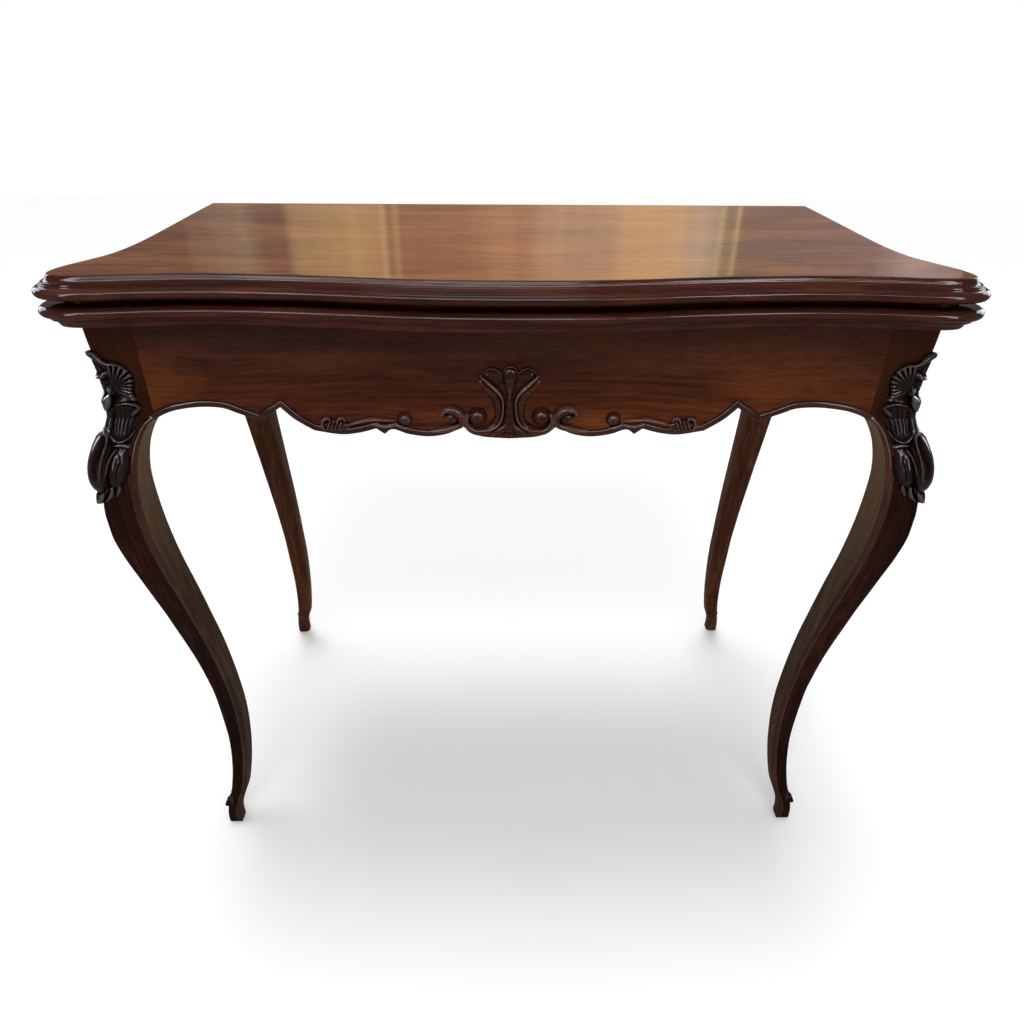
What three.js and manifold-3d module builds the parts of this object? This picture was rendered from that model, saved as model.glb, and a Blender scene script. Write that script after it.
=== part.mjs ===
// Games table: two serpentine leaves, one on the other, over a frame with carved cabriole legs.
// The folded top turns a quarter on its frame, and the upper leaf then opens over the empty half.
// Millimetres, +Z up, +X along the length, the carved front towards -Y.
import * as THREE from 'three';
import { mergeVertices } from 'three/addons/utils/BufferGeometryUtils.js';
import Module from 'manifold-3d';

const manifold = await Module();
manifold.setup();

// Driving sizes of the whole table
const tableHeight = 750;
const flatWidth = 804;
const flatDepth = 415;
const leafThickness = 22.4;
const frameSideInset = 8.5;
const frameInset = 8;
const legPost = 45.5;

// Clearances between pieces
const seatGap = 0.3;
const leafGap = 0.3;
const turningGap = 0.6;
const cutOverrun = 10;

// Edge of the leaves
const frontBulge = 17;
const crestReach = 17;
const outlineSteps = 2;

// Baize lining of each leaf
const baizeBorder = 42;
const foldBorder = 16;
const baizeThickness = 0.9;
const baizeRecess = 1.3;
const baizeGap = 0.5;

// Aprons and their joints
const apronThickness = 20;
const apronSetback = 0.8;
const frontDrop = 114;
const sideDrop = 108;
const tenonThickness = 8;
const tenonLength = 17;
const tenonHeight = 58;
const tenonBelowTop = 14;
const beadWidth = 6;
const beadRise = 1.8;
const edgeSteps = 2;

// Card well and pivot board
const wellDepth = 62;
const floorThickness = 8;
const partitionThickness = 14;
const grooveMargin = 12;
const bearerSide = 14;
const pivotBoardThickness = 20;

// Pivot and stop
const pivotBoltRadius = 5;
const pivotBoltInLeaf = 11;
const pivotBoltBelowBoard = 13;
const pivotPlateRadius = 27;
const pivotPlateThickness = 2;
const washerRadius = 12;
const washerThickness = 2;
const nutRadius = 10;
const nutHeight = 7;
const nutSides = 6;
const stopRadius = 46;
const pegRadius = 5;
const pegInLeaf = 9;
const pegBelowLeaf = 8;
const grooveDepth = 10;
const roundSteps = 16;

// Hinges
const hingeFromEnd = 80;
const hingeLength = 48;
const hingePlateDepth = 15;
const hingePlateThickness = 1.6;
const knuckleRadius = 3;
const knuckleGap = 0.4;
const hingePinRadius = 1.1;
const knuckleSteps = 12;
const screwHeadRadius = 2.7;
const screwHeadDepth = 1.2;
const screwShankRadius = 1.2;
const screwLength = 13;
const screwSpacing = 30;
const screwSteps = 8;

// Carving on the apron and the knees
const scrollRadius = 3.4;
const budRadius = 5;
const ballRings = 6;
const ballTurns = 8;
const tubeDivisions = 3;
const scrollSteps = 12;

// Places that follow from the sizes above
const halfFlat = flatWidth / 2;
const frameWidth = flatWidth - 2 * frameSideInset;
const frameTop = tableHeight - 2 * leafThickness - 2 * leafGap;
const lowerLeafBase = frameTop + leafGap;
const foldHeight = tableHeight - leafThickness - leafGap / 2;
const frameFront = frameInset;
const frameBack = flatDepth;
const frameDepth = frameBack - frameFront;
const halfFrame = frameWidth / 2;
const frameMiddle = (frameFront + frameBack) / 2;
const pivotX = (flatDepth - frameMiddle) / 2;
const pivotY = (flatDepth + frameMiddle) / 2;
const grooveReach = pegRadius + turningGap;
const partitionPlace = pivotX - stopRadius - grooveReach - grooveMargin - partitionThickness;
const hingePlace = halfFlat - hingeFromEnd;

// The leg's outer and inner corners, up its height. Each row has the height as a share of the frame's
// height, then how far the outer and the inner corner stand from the post's outer corner line, as
// shares of the post: the outer one outwards, the inner one inwards.
const legShares = [
  [0, 0.02, 0.4], [0.022, 0.005, 0.395], [0.04, -0.035, 0.425], [0.055, -0.09, 0.5],
  [0.068, -0.145, 0.58], [0.084, -0.215, 0.665],
  [0.123, -0.318, 0.78], [0.165, -0.388, 0.87], [0.206, -0.424, 0.927], [0.245, -0.424, 0.96],
  [0.287, -0.41, 0.97], [0.328, -0.385, 0.952], [0.367, -0.33, 0.923], [0.409, -0.257, 0.881],
  [0.45, -0.165, 0.826], [0.489, -0.068, 0.76], [0.531, 0.037, 0.69], [0.572, 0.152, 0.615],
  [0.611, 0.26, 0.54], [0.653, 0.375, 0.477], [0.695, 0.45, 0.432], [0.738, 0.44, 0.41],
  [0.78, 0.34, 0.42], [0.816, 0.2, 0.51], [0.84, 0.09, 0.64], [0.858, 0, 0.81], [0.8695, -0.06, 1],
  [0.8715, -0.065, 1], [0.9, -0.1, 1], [0.93, -0.095, 1], [0.965, -0.04, 1], [1, -0.015, 1],
];
const kneeShare = Math.max(...legShares.map(([, out]) => out));

// The rear legs sweep further back below this share of the frame's height
const rearSweep = 15;
const sweepTopShare = 0.6;
const sweepCurve = 1.6;

// The bead on a front leg's inner edge ends at this share of the frame's height, and its section takes
// these shares of the bead's width, from the inner corner, and of its rise.
const beadTopShare = 0.87;
const beadSectionShares = [[1, 0], [0.85, 0.8], [0.5, 1], [0.15, 0.8], [0, 0]];

// Half of the flat's outline, from the middle of the front to the straight rear edge. The front rows are
// shares of the half width and of the bulge, the side rows shares of the half width and of the depth.
const frontShares = [
  [0, -1], [0.13, -0.93], [0.25, -0.68], [0.4, -0.18], [0.55, 0.2], [0.68, 0.33], [0.8, 0.16],
  [0.89, -0.16], [0.945, -0.26], [0.975, -0.21], [0.995, 0],
];
const sideShares = [
  [1.004, 0.014], [1.0065, 0.034], [1.002, 0.068], [0.989, 0.106], [0.974, 0.145], [0.9595, 0.19],
  [0.9515, 0.242], [0.949, 0.32], [0.9535, 0.424], [0.963, 0.554], [0.9745, 0.706], [0.985, 0.843],
  [0.995, 1],
];

// Beyond this share of the half width the lining's front edge gives way to its corner
const liningCornerShare = 0.82;

// Edge moulding of a leaf, from its meeting face to its show face: reach as a share of the crest's reach,
// height as a share of the leaf. A bold nose lies under two fillets, a cove and a lip.
const mouldingShares = [
  [-0.23, 0], [-0.23, 0.135], [0.62, 0.14], [0.8, 0.165], [0.915, 0.215], [0.98, 0.285], [1, 0.36],
  [0.98, 0.437], [0.91, 0.513], [0.79, 0.568], [0.66, 0.59], [0.635, 0.645], [0.565, 0.665], [0.545, 0.715],
  [0.46, 0.745], [0.32, 0.81], [0.24, 0.884], [0.21, 0.96], [0.12, 1],
];

// Lower edges of the aprons, from the post to the middle, in runs that meet at cusps: distance from the
// middle as a share of the half length, drop as a share of the apron's greatest drop.
const frontEdgeShares = [
  [[1, 0.82], [0.971, 0.775], [0.93, 0.735], [0.864, 0.708], [0.8, 0.715], [0.76, 0.76], [0.696, 0.837]],
  [[0.696, 0.837], [0.67, 0.775], [0.636, 0.71]],
  [[0.636, 0.71], [0.6, 0.82], [0.551, 0.92]],
  [[0.551, 0.92], [0.478, 0.958], [0.423, 0.942], [0.376, 0.903]],
  [[0.376, 0.903], [0.353, 0.955]],
  [[0.353, 0.955], [0.329, 0.91], [0.285, 0.955], [0.229, 0.977], [0.175, 0.951], [0.132, 0.885]],
  [[0.132, 0.885], [0.109, 0.947], [0.072, 0.985], [0, 1]],
];
const beadedRuns = 3;

// The front's pattern stands this far off the middle, and its shift fades out towards the posts
const patternShift = -4.5;
const shiftFading = 6;

const sideEdgeShares = [
  [[1, 0.865], [0.93, 0.8], [0.8, 0.752], [0.68, 0.758], [0.6, 0.8], [0.5, 0.885]],
  [[0.5, 0.885], [0.45, 0.82], [0.4, 0.752]],
  [[0.4, 0.752], [0.3, 0.9], [0.16, 0.98], [0, 1]],
];

// Scrolls that lie along the front apron's lower edge, as shares of its half length and drop.
const scrollShares = [
  [0.145, 0.8], [0.165, 0.75], [0.19, 0.79], [0.172, 0.85], [0.15, 0.885], [0.2, 0.945], [0.26, 0.95],
  [0.31, 0.905], [0.36, 0.9],
];
const leafCurlShares = [
  [0.4, 0.88], [0.44, 0.92], [0.49, 0.925], [0.54, 0.88], [0.515, 0.825], [0.48, 0.835],
];
const budShares = [0.3, 0.85];
const palmetteArmShares = [
  [0.088, 0.44], [0.045, 0.56], [0.022, 0.68], [0.032, 0.815], [0.07, 0.95], [0.101, 0.815],
];
const palmettePetalShares = [[-0.055, 0.505], [0, 0.45], [0.055, 0.505]];
const palmetteEyeShares = [0.084, 0.815];
const palmetteStemShares = [[0, 0.52], [0, 0.95]];

// How far a petal and the stem are drawn out from a ball: across, forwards and up
const petalStretchShares = [1.35, 1.05, 2.25];
const stemStretchShares = [1.7, 0.6, 0.62];

// Carvings on the front knees: heights as shares of the frame's height.
const cartoucheMiddleShare = 0.794;
const cartoucheHalfShare = 0.055;
const sideLobeMiddleShare = 0.805;
const sideLobeHalfShare = 0.036;
const shellRootShare = 0.845;
const shellTopShare = 0.935;
const ribSpreadShare = 0.75;
const ribShorteningShare = 0.35;
const ribOverlapShare = 1.1;
const shellRibs = 7;
const cartoucheReach = 18.5;
const cartoucheInset = 9;
const sideLobeReach = 6;
const sideLobePlace = 20;
const ribRadius = 5;
const ribInset = 2.5;

// Scroll at the outer corner of each foot
const toeRadius = 6.5;
const toeHeightShare = 0.054;

// Colours read from the photograph
const rosewood = { color: 0x4a2015, roughness: 0.32, metalness: 0 };
const polishedTop = { color: 0x6a3a22, roughness: 0.2, metalness: 0 };
const darkCarving = { color: 0x2a1614, roughness: 0.35, metalness: 0 };
const plainInside = { color: 0x8a6a48, roughness: 0.75, metalness: 0 };
const greenBaize = { color: 0x2f5a3a, roughness: 0.95, metalness: 0 };
const brass = { color: 0xa9843f, roughness: 0.35, metalness: 1 };
const iron = { color: 0x4b4a48, roughness: 0.45, metalness: 1 };

// Solids, cuts and joins
// Shares the vertices and drops the faces that have no area, such as those of a lathe at its axis
function weld(geometry) {
  const bare = geometry.clone();
  bare.deleteAttribute('normal');
  bare.deleteAttribute('uv');
  const welded = mergeVertices(bare);
  const corners = Array.from(welded.index.array);
  const faces = [];
  for (let i = 0; i < corners.length; i += 3) {
    const [a, b, c] = corners.slice(i, i + 3);
    if (a !== b && b !== c && c !== a) faces.push(a, b, c);
  }
  welded.setIndex(faces);
  return welded;
}

function solidOf(geometry) {
  const welded = weld(geometry);
  return new manifold.Manifold(new manifold.Mesh({
    numProp: 3,
    vertProperties: new Float32Array(welded.attributes.position.array),
    triVerts: new Uint32Array(welded.index.array),
  }));
}

function geometryOf(solid) {
  const mesh = solid.getMesh();
  const geometry = new THREE.BufferGeometry();
  const positions = new Float32Array(mesh.numVert * 3);
  for (let i = 0; i < mesh.numVert; i += 1) {
    positions.set(mesh.vertProperties.subarray(i * mesh.numProp, i * mesh.numProp + 3), i * 3);
  }
  geometry.setAttribute('position', new THREE.BufferAttribute(positions, 3));
  geometry.setIndex(new THREE.BufferAttribute(new Uint32Array(mesh.triVerts), 1));
  return geometry;
}

function join(geometries) {
  const [first, ...others] = geometries.map(solidOf);
  return geometryOf(others.reduce((whole, next) => whole.add(next), first));
}

function cut(geometry, tools) {
  return geometryOf(tools.map(solidOf).reduce((whole, tool) => whole.subtract(tool), solidOf(geometry)));
}

function block(x0, x1, y0, y1, z0, z1) {
  const geometry = new THREE.BoxGeometry(x1 - x0, y1 - y0, z1 - z0);
  return geometry.translate((x0 + x1) / 2, (y0 + y1) / 2, (z0 + z1) / 2);
}

// A turned solid about the Z axis from [radius, height] rows, upwards, starting and ending on the axis
function turned(rows, steps = roundSteps) {
  const profile = rows.map(([radius, height]) => new THREE.Vector2(radius, height));
  return new THREE.LatheGeometry(profile, steps).rotateX(Math.PI / 2);
}

function disc(radius, z0, z1, steps = roundSteps) {
  return turned([[0, z0], [radius, z0], [radius, z1], [0, z1]], steps);
}

function ring(inner, outer, z0, z1, steps = roundSteps) {
  return turned([[inner, z0], [outer, z0], [outer, z1], [inner, z1], [inner, z0]], steps);
}

// Skins a stack of equal loops, lowest first, each running counter-clockwise seen from above
function loft(loops) {
  const count = loops[0].length;
  const positions = loops.flatMap((loop) => loop.flatMap((p) => [p.x, p.y, p.z]));
  const index = [];
  for (let ringAt = 0; ringAt + 1 < loops.length; ringAt += 1) {
    for (let i = 0; i < count; i += 1) {
      const a = ringAt * count + i;
      const b = ringAt * count + ((i + 1) % count);
      index.push(a, b, b + count, a, b + count, a + count);
    }
  }
  const top = (loops.length - 1) * count;
  const flat = (loop) => loop.map((p) => new THREE.Vector2(p.x, p.y));
  const faces = (loop) => THREE.ShapeUtils.triangulateShape(flat(loop), []);
  faces(loops[0]).forEach(([a, b, c]) => index.push(a, c, b));
  faces(loops[loops.length - 1]).forEach(([a, b, c]) => index.push(top + a, top + b, top + c));
  const geometry = new THREE.BufferGeometry();
  geometry.setAttribute('position', new THREE.Float32BufferAttribute(positions, 3));
  geometry.setIndex(index);
  return geometry;
}

// An outline in the XZ plane, given thickness along +Y from y0
function upright(points, y0, thickness) {
  const shape = new THREE.Shape(points.map(([x, z]) => new THREE.Vector2(x, z)));
  const geometry = new THREE.ExtrudeGeometry(shape, { depth: thickness, bevelEnabled: false });
  return geometry.rotateX(Math.PI / 2).translate(0, y0 + thickness, 0);
}

function smoothRun(rows, steps) {
  const curve = new THREE.SplineCurve(rows.map(([x, y]) => new THREE.Vector2(x, y)));
  return curve.getPoints((rows.length - 1) * steps).map((p) => [p.x, p.y]);
}

// The leaves
// The outline of a leaf with the way that its moulding stands out at each point
function leafOutline() {
  const front = frontShares.map(([across, along]) => [across * halfFlat, along * frontBulge]);
  const side = sideShares.map(([across, along]) => [across * halfFlat, along * flatDepth]);
  const half = smoothRun([...front, ...side], outlineSteps);
  const left = half.slice(1).map(([x, y]) => [-x, y]).reverse();
  const loop = [...left, ...half];
  return loop.map(([x, y], i) => {
    const back = loop[Math.max(i - 1, 0)];
    const ahead = loop[Math.min(i + 1, loop.length - 1)];
    const out = new THREE.Vector2(ahead[1] - back[1], back[0] - ahead[0]).normalize();
    const atFold = i === 0 || i === loop.length - 1;
    return { x, y, outX: atFold ? Math.sign(x) : out.x, outY: atFold ? 0 : out.y };
  });
}

const outline = leafOutline();

function outlineLoop(reach, height) {
  return outline.map(({ x, y, outX, outY }) => new THREE.Vector3(
    x + outX * reach,
    Math.min(y + outY * reach, flatDepth - leafGap / 2),
    height,
  ));
}

// meetingHeight is the face on which the two leaves meet; rise is +1 for the upper leaf, -1 for the lower
function leafBlank(meetingHeight, rise) {
  const loops = mouldingShares.map(([reach, up]) => (
    outlineLoop(reach * crestReach, meetingHeight + rise * up * leafThickness)
  ));
  return loft(rise > 0 ? loops : loops.reverse());
}

// The lining follows the front and sides at its border's width, with a plain corner between them
function lining(border, fold, z0, z1) {
  const front = frontShares.filter(([across]) => across < liningCornerShare)
    .map(([across, along]) => [across * halfFlat, along * frontBulge + border]);
  const side = sideShares.filter(([, along]) => along > 1 - liningCornerShare)
    .map(([across, along]) => [across * halfFlat - border, Math.min(along * flatDepth, flatDepth - fold)]);
  const half = [...smoothRun(front, outlineSteps), [side[0][0], border], ...smoothRun(side, outlineSteps)];
  const loop = [...half.slice(1).map(([x, y]) => [-x, y]).reverse(), ...half];
  return loft([z0, z1].map((z) => loop.map(([x, y]) => new THREE.Vector3(x, y, z))));
}

function baizeCut(meetingHeight, rise) {
  const floor = meetingHeight + rise * baizeRecess;
  const past = meetingHeight - rise * cutOverrun;
  return lining(baizeBorder, foldBorder, Math.min(floor, past), Math.max(floor, past));
}

function baizeSheet(meetingHeight, rise) {
  const back = meetingHeight + rise * (baizeRecess - (baizeRecess - baizeThickness) / 2);
  const face = back - rise * baizeThickness;
  const border = baizeBorder + baizeGap;
  return lining(border, foldBorder + baizeGap, Math.min(back, face), Math.max(back, face));
}

// Hinges, drawn with the pin along X at the origin, the lower plate down and the upper plate up
function alongX(geometry) {
  return geometry.rotateY(Math.PI / 2);
}

function knuckle(x0, x1, radius) {
  return alongX(disc(radius, x0, x1, knuckleSteps));
}

function hingePlate(rise) {
  const face = -leafGap / 2 - seatGap / 2;
  const rear = face - hingePlateThickness;
  const third = hingeLength / 3;
  const middle = [-third / 2 + knuckleGap, third / 2 - knuckleGap];
  const outer = hingeLength / 2;
  const spans = rise > 0 ? [middle] : [[-outer, -third / 2 - knuckleGap], [third / 2 + knuckleGap, outer]];
  const inner = knuckleRadius + knuckleGap;
  const reach = (from, to) => [Math.min(rise * from, rise * to), Math.max(rise * from, rise * to)];
  const pieces = [block(-outer, outer, rear, face, ...reach(inner, hingePlateDepth))];
  spans.forEach(([x0, x1]) => {
    pieces.push(knuckle(x0, x1, knuckleRadius));
    pieces.push(block(x0, x1, rear, face, ...reach(hingePinRadius, inner + seatGap)));
  });
  const bore = knuckle(-outer - cutOverrun, outer + cutOverrun, hingePinRadius + seatGap);
  const holes = screwPlaces(rise).map((place) => hingeScrew(place, seatGap));
  return cut(join(pieces), [bore, ...holes]);
}

function screwPlaces(rise) {
  const height = rise * (knuckleRadius + hingePlateDepth) / 2;
  return [[-screwSpacing / 2, height], [screwSpacing / 2, height]];
}

// A countersunk screw driven towards -Y; room is added all round when it is used as a drill
function hingeScrew([x, z], room = 0) {
  const head = -leafGap / 2 - seatGap;
  const shoulder = head - screwHeadDepth;
  const tip = shoulder - screwLength - room;
  const above = room ? [[screwHeadRadius + room, head + cutOverrun], [0, head + cutOverrun]] : [[0, head]];
  const shank = screwShankRadius + room;
  const rows = [
    [0, tip], [shank, tip + shank], [shank, shoulder - room], [screwHeadRadius + room, head], ...above,
  ];
  return turned(rows, screwSteps).rotateX(-Math.PI / 2).translate(x, 0, z);
}

function hingeRecess(rise) {
  const outer = hingeLength / 2 + seatGap;
  const rear = -leafGap / 2 - seatGap - hingePlateThickness - seatGap / 2;
  const ends = [-rise * cutOverrun, rise * (hingePlateDepth + seatGap)];
  const pocket = block(-outer, outer, rear, cutOverrun, Math.min(...ends), Math.max(...ends));
  const tunnel = knuckle(-outer, outer, knuckleRadius + knuckleGap);
  return [pocket, tunnel, ...screwPlaces(rise).map((place) => hingeScrew(place, seatGap))];
}

function atHinge(geometry, side) {
  return geometry.translate(side * hingePlace, flatDepth, foldHeight);
}

const sides = [['left', -1], ['right', 1]];

function hingeRecesses(rise) {
  return sides.flatMap(([, side]) => hingeRecess(rise).map((tool) => atHinge(tool, side)));
}

// Pivot
function atPivot(geometry) {
  return geometry.translate(pivotX, pivotY, 0);
}

function pivotBolt(room = 0) {
  const low = frameTop - pivotBoardThickness - pivotBoltBelowBoard - (room ? cutOverrun : 0);
  return atPivot(disc(pivotBoltRadius + room, low, lowerLeafBase + pivotBoltInLeaf + room));
}

function stopPeg(room = 0) {
  const peg = disc(pegRadius + room, lowerLeafBase - pegBelowLeaf, lowerLeafBase + pegInLeaf + room);
  return atPivot(peg.translate(-stopRadius, 0, 0));
}

// A quarter of a ring, from the peg's place to a quarter turn on, with a round end at each
function stopGroove() {
  const depth = grooveDepth + cutOverrun;
  const arc = new THREE.Shape();
  const finish = Math.PI + Math.PI / 2;
  arc.absarc(0, 0, stopRadius + grooveReach, Math.PI, finish, false);
  arc.absarc(0, 0, stopRadius - grooveReach, finish, Math.PI, true);
  const body = new THREE.ExtrudeGeometry(arc, { depth, bevelEnabled: false, curveSegments: roundSteps });
  const end = () => disc(grooveReach, 0, depth);
  const ends = [end().translate(-stopRadius, 0, 0), end().translate(0, -stopRadius, 0)];
  return atPivot(join([body, ...ends]).translate(0, 0, frameTop - grooveDepth));
}

function lowerLeaf() {
  const meeting = foldHeight - leafGap / 2;
  const plateSeat = lowerLeafBase + pivotPlateThickness;
  const plate = disc(pivotPlateRadius + seatGap, lowerLeafBase - cutOverrun, plateSeat);
  const pivotTools = [atPivot(plate), pivotBolt(seatGap), stopPeg(seatGap)];
  const tools = [baizeCut(meeting, -1), ...pivotTools, ...hingeRecesses(-1)];
  return cut(leafBlank(meeting, -1), tools);
}

function upperLeaf() {
  const meeting = foldHeight + leafGap / 2;
  return cut(leafBlank(meeting, 1), [baizeCut(meeting, 1), ...hingeRecesses(1)]);
}

// Legs
// Where the post's outer corner line runs at a share of the frame's height
function postLine(end, up) {
  const sweep = Math.max(1 - up / sweepTopShare, 0) ** sweepCurve;
  return end < 0 ? frameFront : frameBack + rearSweep * sweep;
}

// room lets the same solid cut its neighbours
function legBlank(side, end, room = 0) {
  const cornerX = side * halfFrame;
  return loft(legShares.map(([up, outShare, intoShare]) => {
    const cornerY = postLine(end, up);
    const out = outShare * legPost + room;
    const into = intoShare * legPost + room;
    const [x0, x1] = [cornerX + side * out, cornerX - side * into].sort((a, b) => a - b);
    const [y0, y1] = [cornerY + end * out, cornerY - end * into].sort((a, b) => a - b);
    const bead = end < 0 ? legBead(side, cornerX - side * into, y0, up) : [[side > 0 ? x0 : x1, y0]];
    const front = side > 0 ? [...bead, [x1, y0]] : [[x0, y0], ...bead];
    return [...front, [x1, y1], [x0, y1]].map(([x, y]) => new THREE.Vector3(x, y, up * frameTop));
  }));
}

// Points of the bead along the inner corner of a front leg's front face, in the order of growing x
function legBead(side, innerX, frontY, up) {
  const rise = up < beadTopShare ? beadRise : 0;
  const points = beadSectionShares.map(([across, out]) => [
    innerX + side * across * beadWidth, frontY - out * rise,
  ]);
  return side > 0 ? points.reverse() : points;
}

function toeScroll(side, end) {
  const out = legShareAt(toeHeightShare) * legPost;
  const y = postLine(end, toeHeightShare) + end * out;
  const scroll = new THREE.SphereGeometry(toeRadius, ballTurns, ballRings);
  return scroll.translate(side * (halfFrame + out), y, toeHeightShare * frameTop);
}

// The apron's own middle plane lies this far inside the frame's outer line
const apronMiddle = apronSetback + apronThickness / 2;

function tenonSpan(room) {
  const top = frameTop - tenonBelowTop;
  return { half: tenonThickness / 2 + room, z0: top - tenonHeight - room, z1: top + room };
}

function mortises(side, end) {
  const { half, z0, z1 } = tenonSpan(seatGap);
  const postX = side * (halfFrame - legPost);
  const deepX = postX + side * (tenonLength + seatGap);
  const postY = end < 0 ? frameFront + legPost : frameBack - legPost;
  const deepY = postY + end * (tenonLength + seatGap);
  const middleY = end < 0 ? frameFront + apronMiddle : frameBack - apronMiddle;
  const middleX = side * (halfFrame - apronMiddle);
  const pastX = postX - side * cutOverrun;
  const pastY = postY - end * cutOverrun;
  return [
    block(Math.min(pastX, deepX), Math.max(pastX, deepX), middleY - half, middleY + half, z0, z1),
    block(middleX - half, middleX + half, Math.min(pastY, deepY), Math.max(pastY, deepY), z0, z1),
  ];
}

function leg(side, end) {
  return cut(join([legBlank(side, end), toeScroll(side, end)]), mortises(side, end));
}

// Aprons
// An apron drawn along X with its show face at y = 0 and its middle at x = 0; place moves its pattern
// The bead goes along its first runs, and the carving takes its place in the middle
function apron(halfLength, drop, runs, beads = 0, place = (x) => x) {
  const onBoard = ([across, down]) => [across * halfLength, frameTop - down * drop];
  const scaled = runs.map((rows) => rows.map(onBoard));
  const along = (rowsUsed) => rowsUsed.flatMap((rows, i) => smoothRun(rows, edgeSteps).slice(i ? 1 : 0));
  const half = along(scaled);
  const whole = [...half, ...half.slice(0, -1).reverse().map(([x, z]) => [-x, z])];
  const edge = whole.map(([x, z]) => [place(x), z]);
  const pieces = [upright([...edge, [-halfLength, frameTop], [halfLength, frameTop]], 0, apronThickness)];
  if (beads) {
    const lower = along(scaled.slice(0, beads));
    const strip = [...lower, ...lower.slice().reverse().map(([x, z]) => [x, z + beadWidth])];
    [1, -1].forEach((side) => {
      pieces.push(upright(strip.map(([x, z]) => [place(side * x), z]), -beadRise, 2 * beadRise));
    });
  }
  const { half: thick, z0, z1 } = tenonSpan(0);
  const middle = apronThickness / 2;
  const reach = halfLength + tenonLength;
  pieces.push(block(-reach, reach, middle - thick, middle + thick, z0, z1));
  return join(pieces);
}

const frontHalf = halfFrame - legPost - seatGap;
const sideHalf = frameDepth / 2 - legPost - seatGap;

function onPattern(x) {
  return x + patternShift * (1 - (Math.abs(x) / frontHalf) ** shiftFading);
}

function frontApron() {
  const board = apron(frontHalf, frontDrop, frontEdgeShares, beadedRuns, onPattern);
  return board.translate(0, frameFront + apronSetback, 0);
}

function rearApron() {
  const turnedRound = apron(frontHalf, sideDrop, sideEdgeShares).rotateZ(Math.PI);
  return turnedRound.translate(0, frameBack - apronSetback, 0);
}

function sideApron(side) {
  const board = apron(sideHalf, sideDrop, sideEdgeShares).rotateZ(side * Math.PI / 2);
  return board.translate(side * (halfFrame - apronSetback), frameMiddle, 0);
}

// Carving on the front apron
const carvingFace = frameFront + apronSetback - seatGap;

function ball(radius, x, z, stretch = [1, 1, 1]) {
  const geometry = new THREE.SphereGeometry(radius, ballTurns, ballRings);
  return geometry.scale(...stretch).translate(x, carvingFace, z);
}

function rod(points, radius, steps) {
  const path = new THREE.CatmullRomCurve3(points.map(([x, z]) => new THREE.Vector3(x, carvingFace, z)));
  const section = new THREE.Shape();
  section.absarc(0, 0, radius, 0, 2 * Math.PI, false);
  return new THREE.ExtrudeGeometry(section, {
    steps, extrudePath: path, bevelEnabled: false, curveSegments: tubeDivisions,
  });
}

// Keeps only what stands in front of the apron's face
function flatBacked(pieces) {
  const behind = block(-frameWidth, frameWidth, carvingFace, carvingFace + frameDepth, 0, tableHeight);
  return cut(join(pieces), [behind]);
}

const onApron = ([across, down]) => [onPattern(across * frontHalf), frameTop - down * frontDrop];

function palmette() {
  const mirrored = (side) => ([across, down]) => onApron([side * across, down]);
  const petals = palmettePetalShares.map((place) => ball(budRadius, ...onApron(place), petalStretchShares));
  const [[stemX, stemTop], [, stemFoot]] = palmetteStemShares.map(onApron);
  const [stemAcross, stemForward, stemUp] = stemStretchShares;
  const stemStretch = [stemAcross, stemForward, (stemUp * (stemTop - stemFoot)) / budRadius];
  const stem = ball(budRadius, stemX, (stemTop + stemFoot) / 2, stemStretch);
  const arms = [-1, 1].flatMap((side) => [
    rod(palmetteArmShares.map(mirrored(side)), scrollRadius, scrollSteps),
    ball(budRadius, ...mirrored(side)(palmetteEyeShares)),
  ]);
  return flatBacked([stem, ...petals, ...arms]);
}

function edgeScroll(side, shares, eyes) {
  const points = shares.map(([across, down]) => onApron([side * across, down]));
  const balls = eyes.map(([across, down]) => ball(budRadius, ...onApron([side * across, down])));
  return flatBacked([rod(points, scrollRadius, scrollSteps), ...balls]);
}

// Carving on a front knee, built round the leg's outer corner and cut to lie on it
// along runs from the corner over the front face where it is positive, and over the side face where it
// is negative; inset goes into the leg from both faces
function onKnee(side, up, along, inset = 0) {
  const out = legShareAt(up) * legPost - inset;
  const x = side * (halfFrame + out - Math.max(along, 0));
  return [x, frameFront - out + Math.max(-along, 0), up * frameTop];
}

function legShareAt(up) {
  const above = legShares.findIndex(([height]) => height >= up);
  const [h0, s0] = legShares[above - 1];
  const [h1, s1] = legShares[above];
  return THREE.MathUtils.lerp(s0, s1, (up - h0) / (h1 - h0));
}

function kneeLobe(side, up, along, halfHeight, reach, depth) {
  const geometry = new THREE.SphereGeometry(1, ballTurns, ballRings).rotateX(Math.PI / 2);
  const acrossX = along < 0 ? depth : reach;
  const acrossY = along > 0 ? depth : reach;
  const inset = along ? 0 : cartoucheInset;
  return geometry.scale(acrossX, acrossY, halfHeight).translate(...onKnee(side, up, along, inset));
}

function lyingOnLeg(pieces, side) {
  return cut(join(pieces), [legBlank(side, -1, seatGap)]);
}

function cartouche(side) {
  const height = cartoucheHalfShare * frameTop;
  const lobeHeight = sideLobeHalfShare * frameTop;
  const lobe = (place) => kneeLobe(side, sideLobeMiddleShare, place, lobeHeight, sideLobeReach, budRadius);
  const middle = kneeLobe(side, cartoucheMiddleShare, 0, height, cartoucheReach, cartoucheReach);
  return lyingOnLeg([middle, lobe(sideLobePlace), lobe(-sideLobePlace)], side);
}

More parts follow.
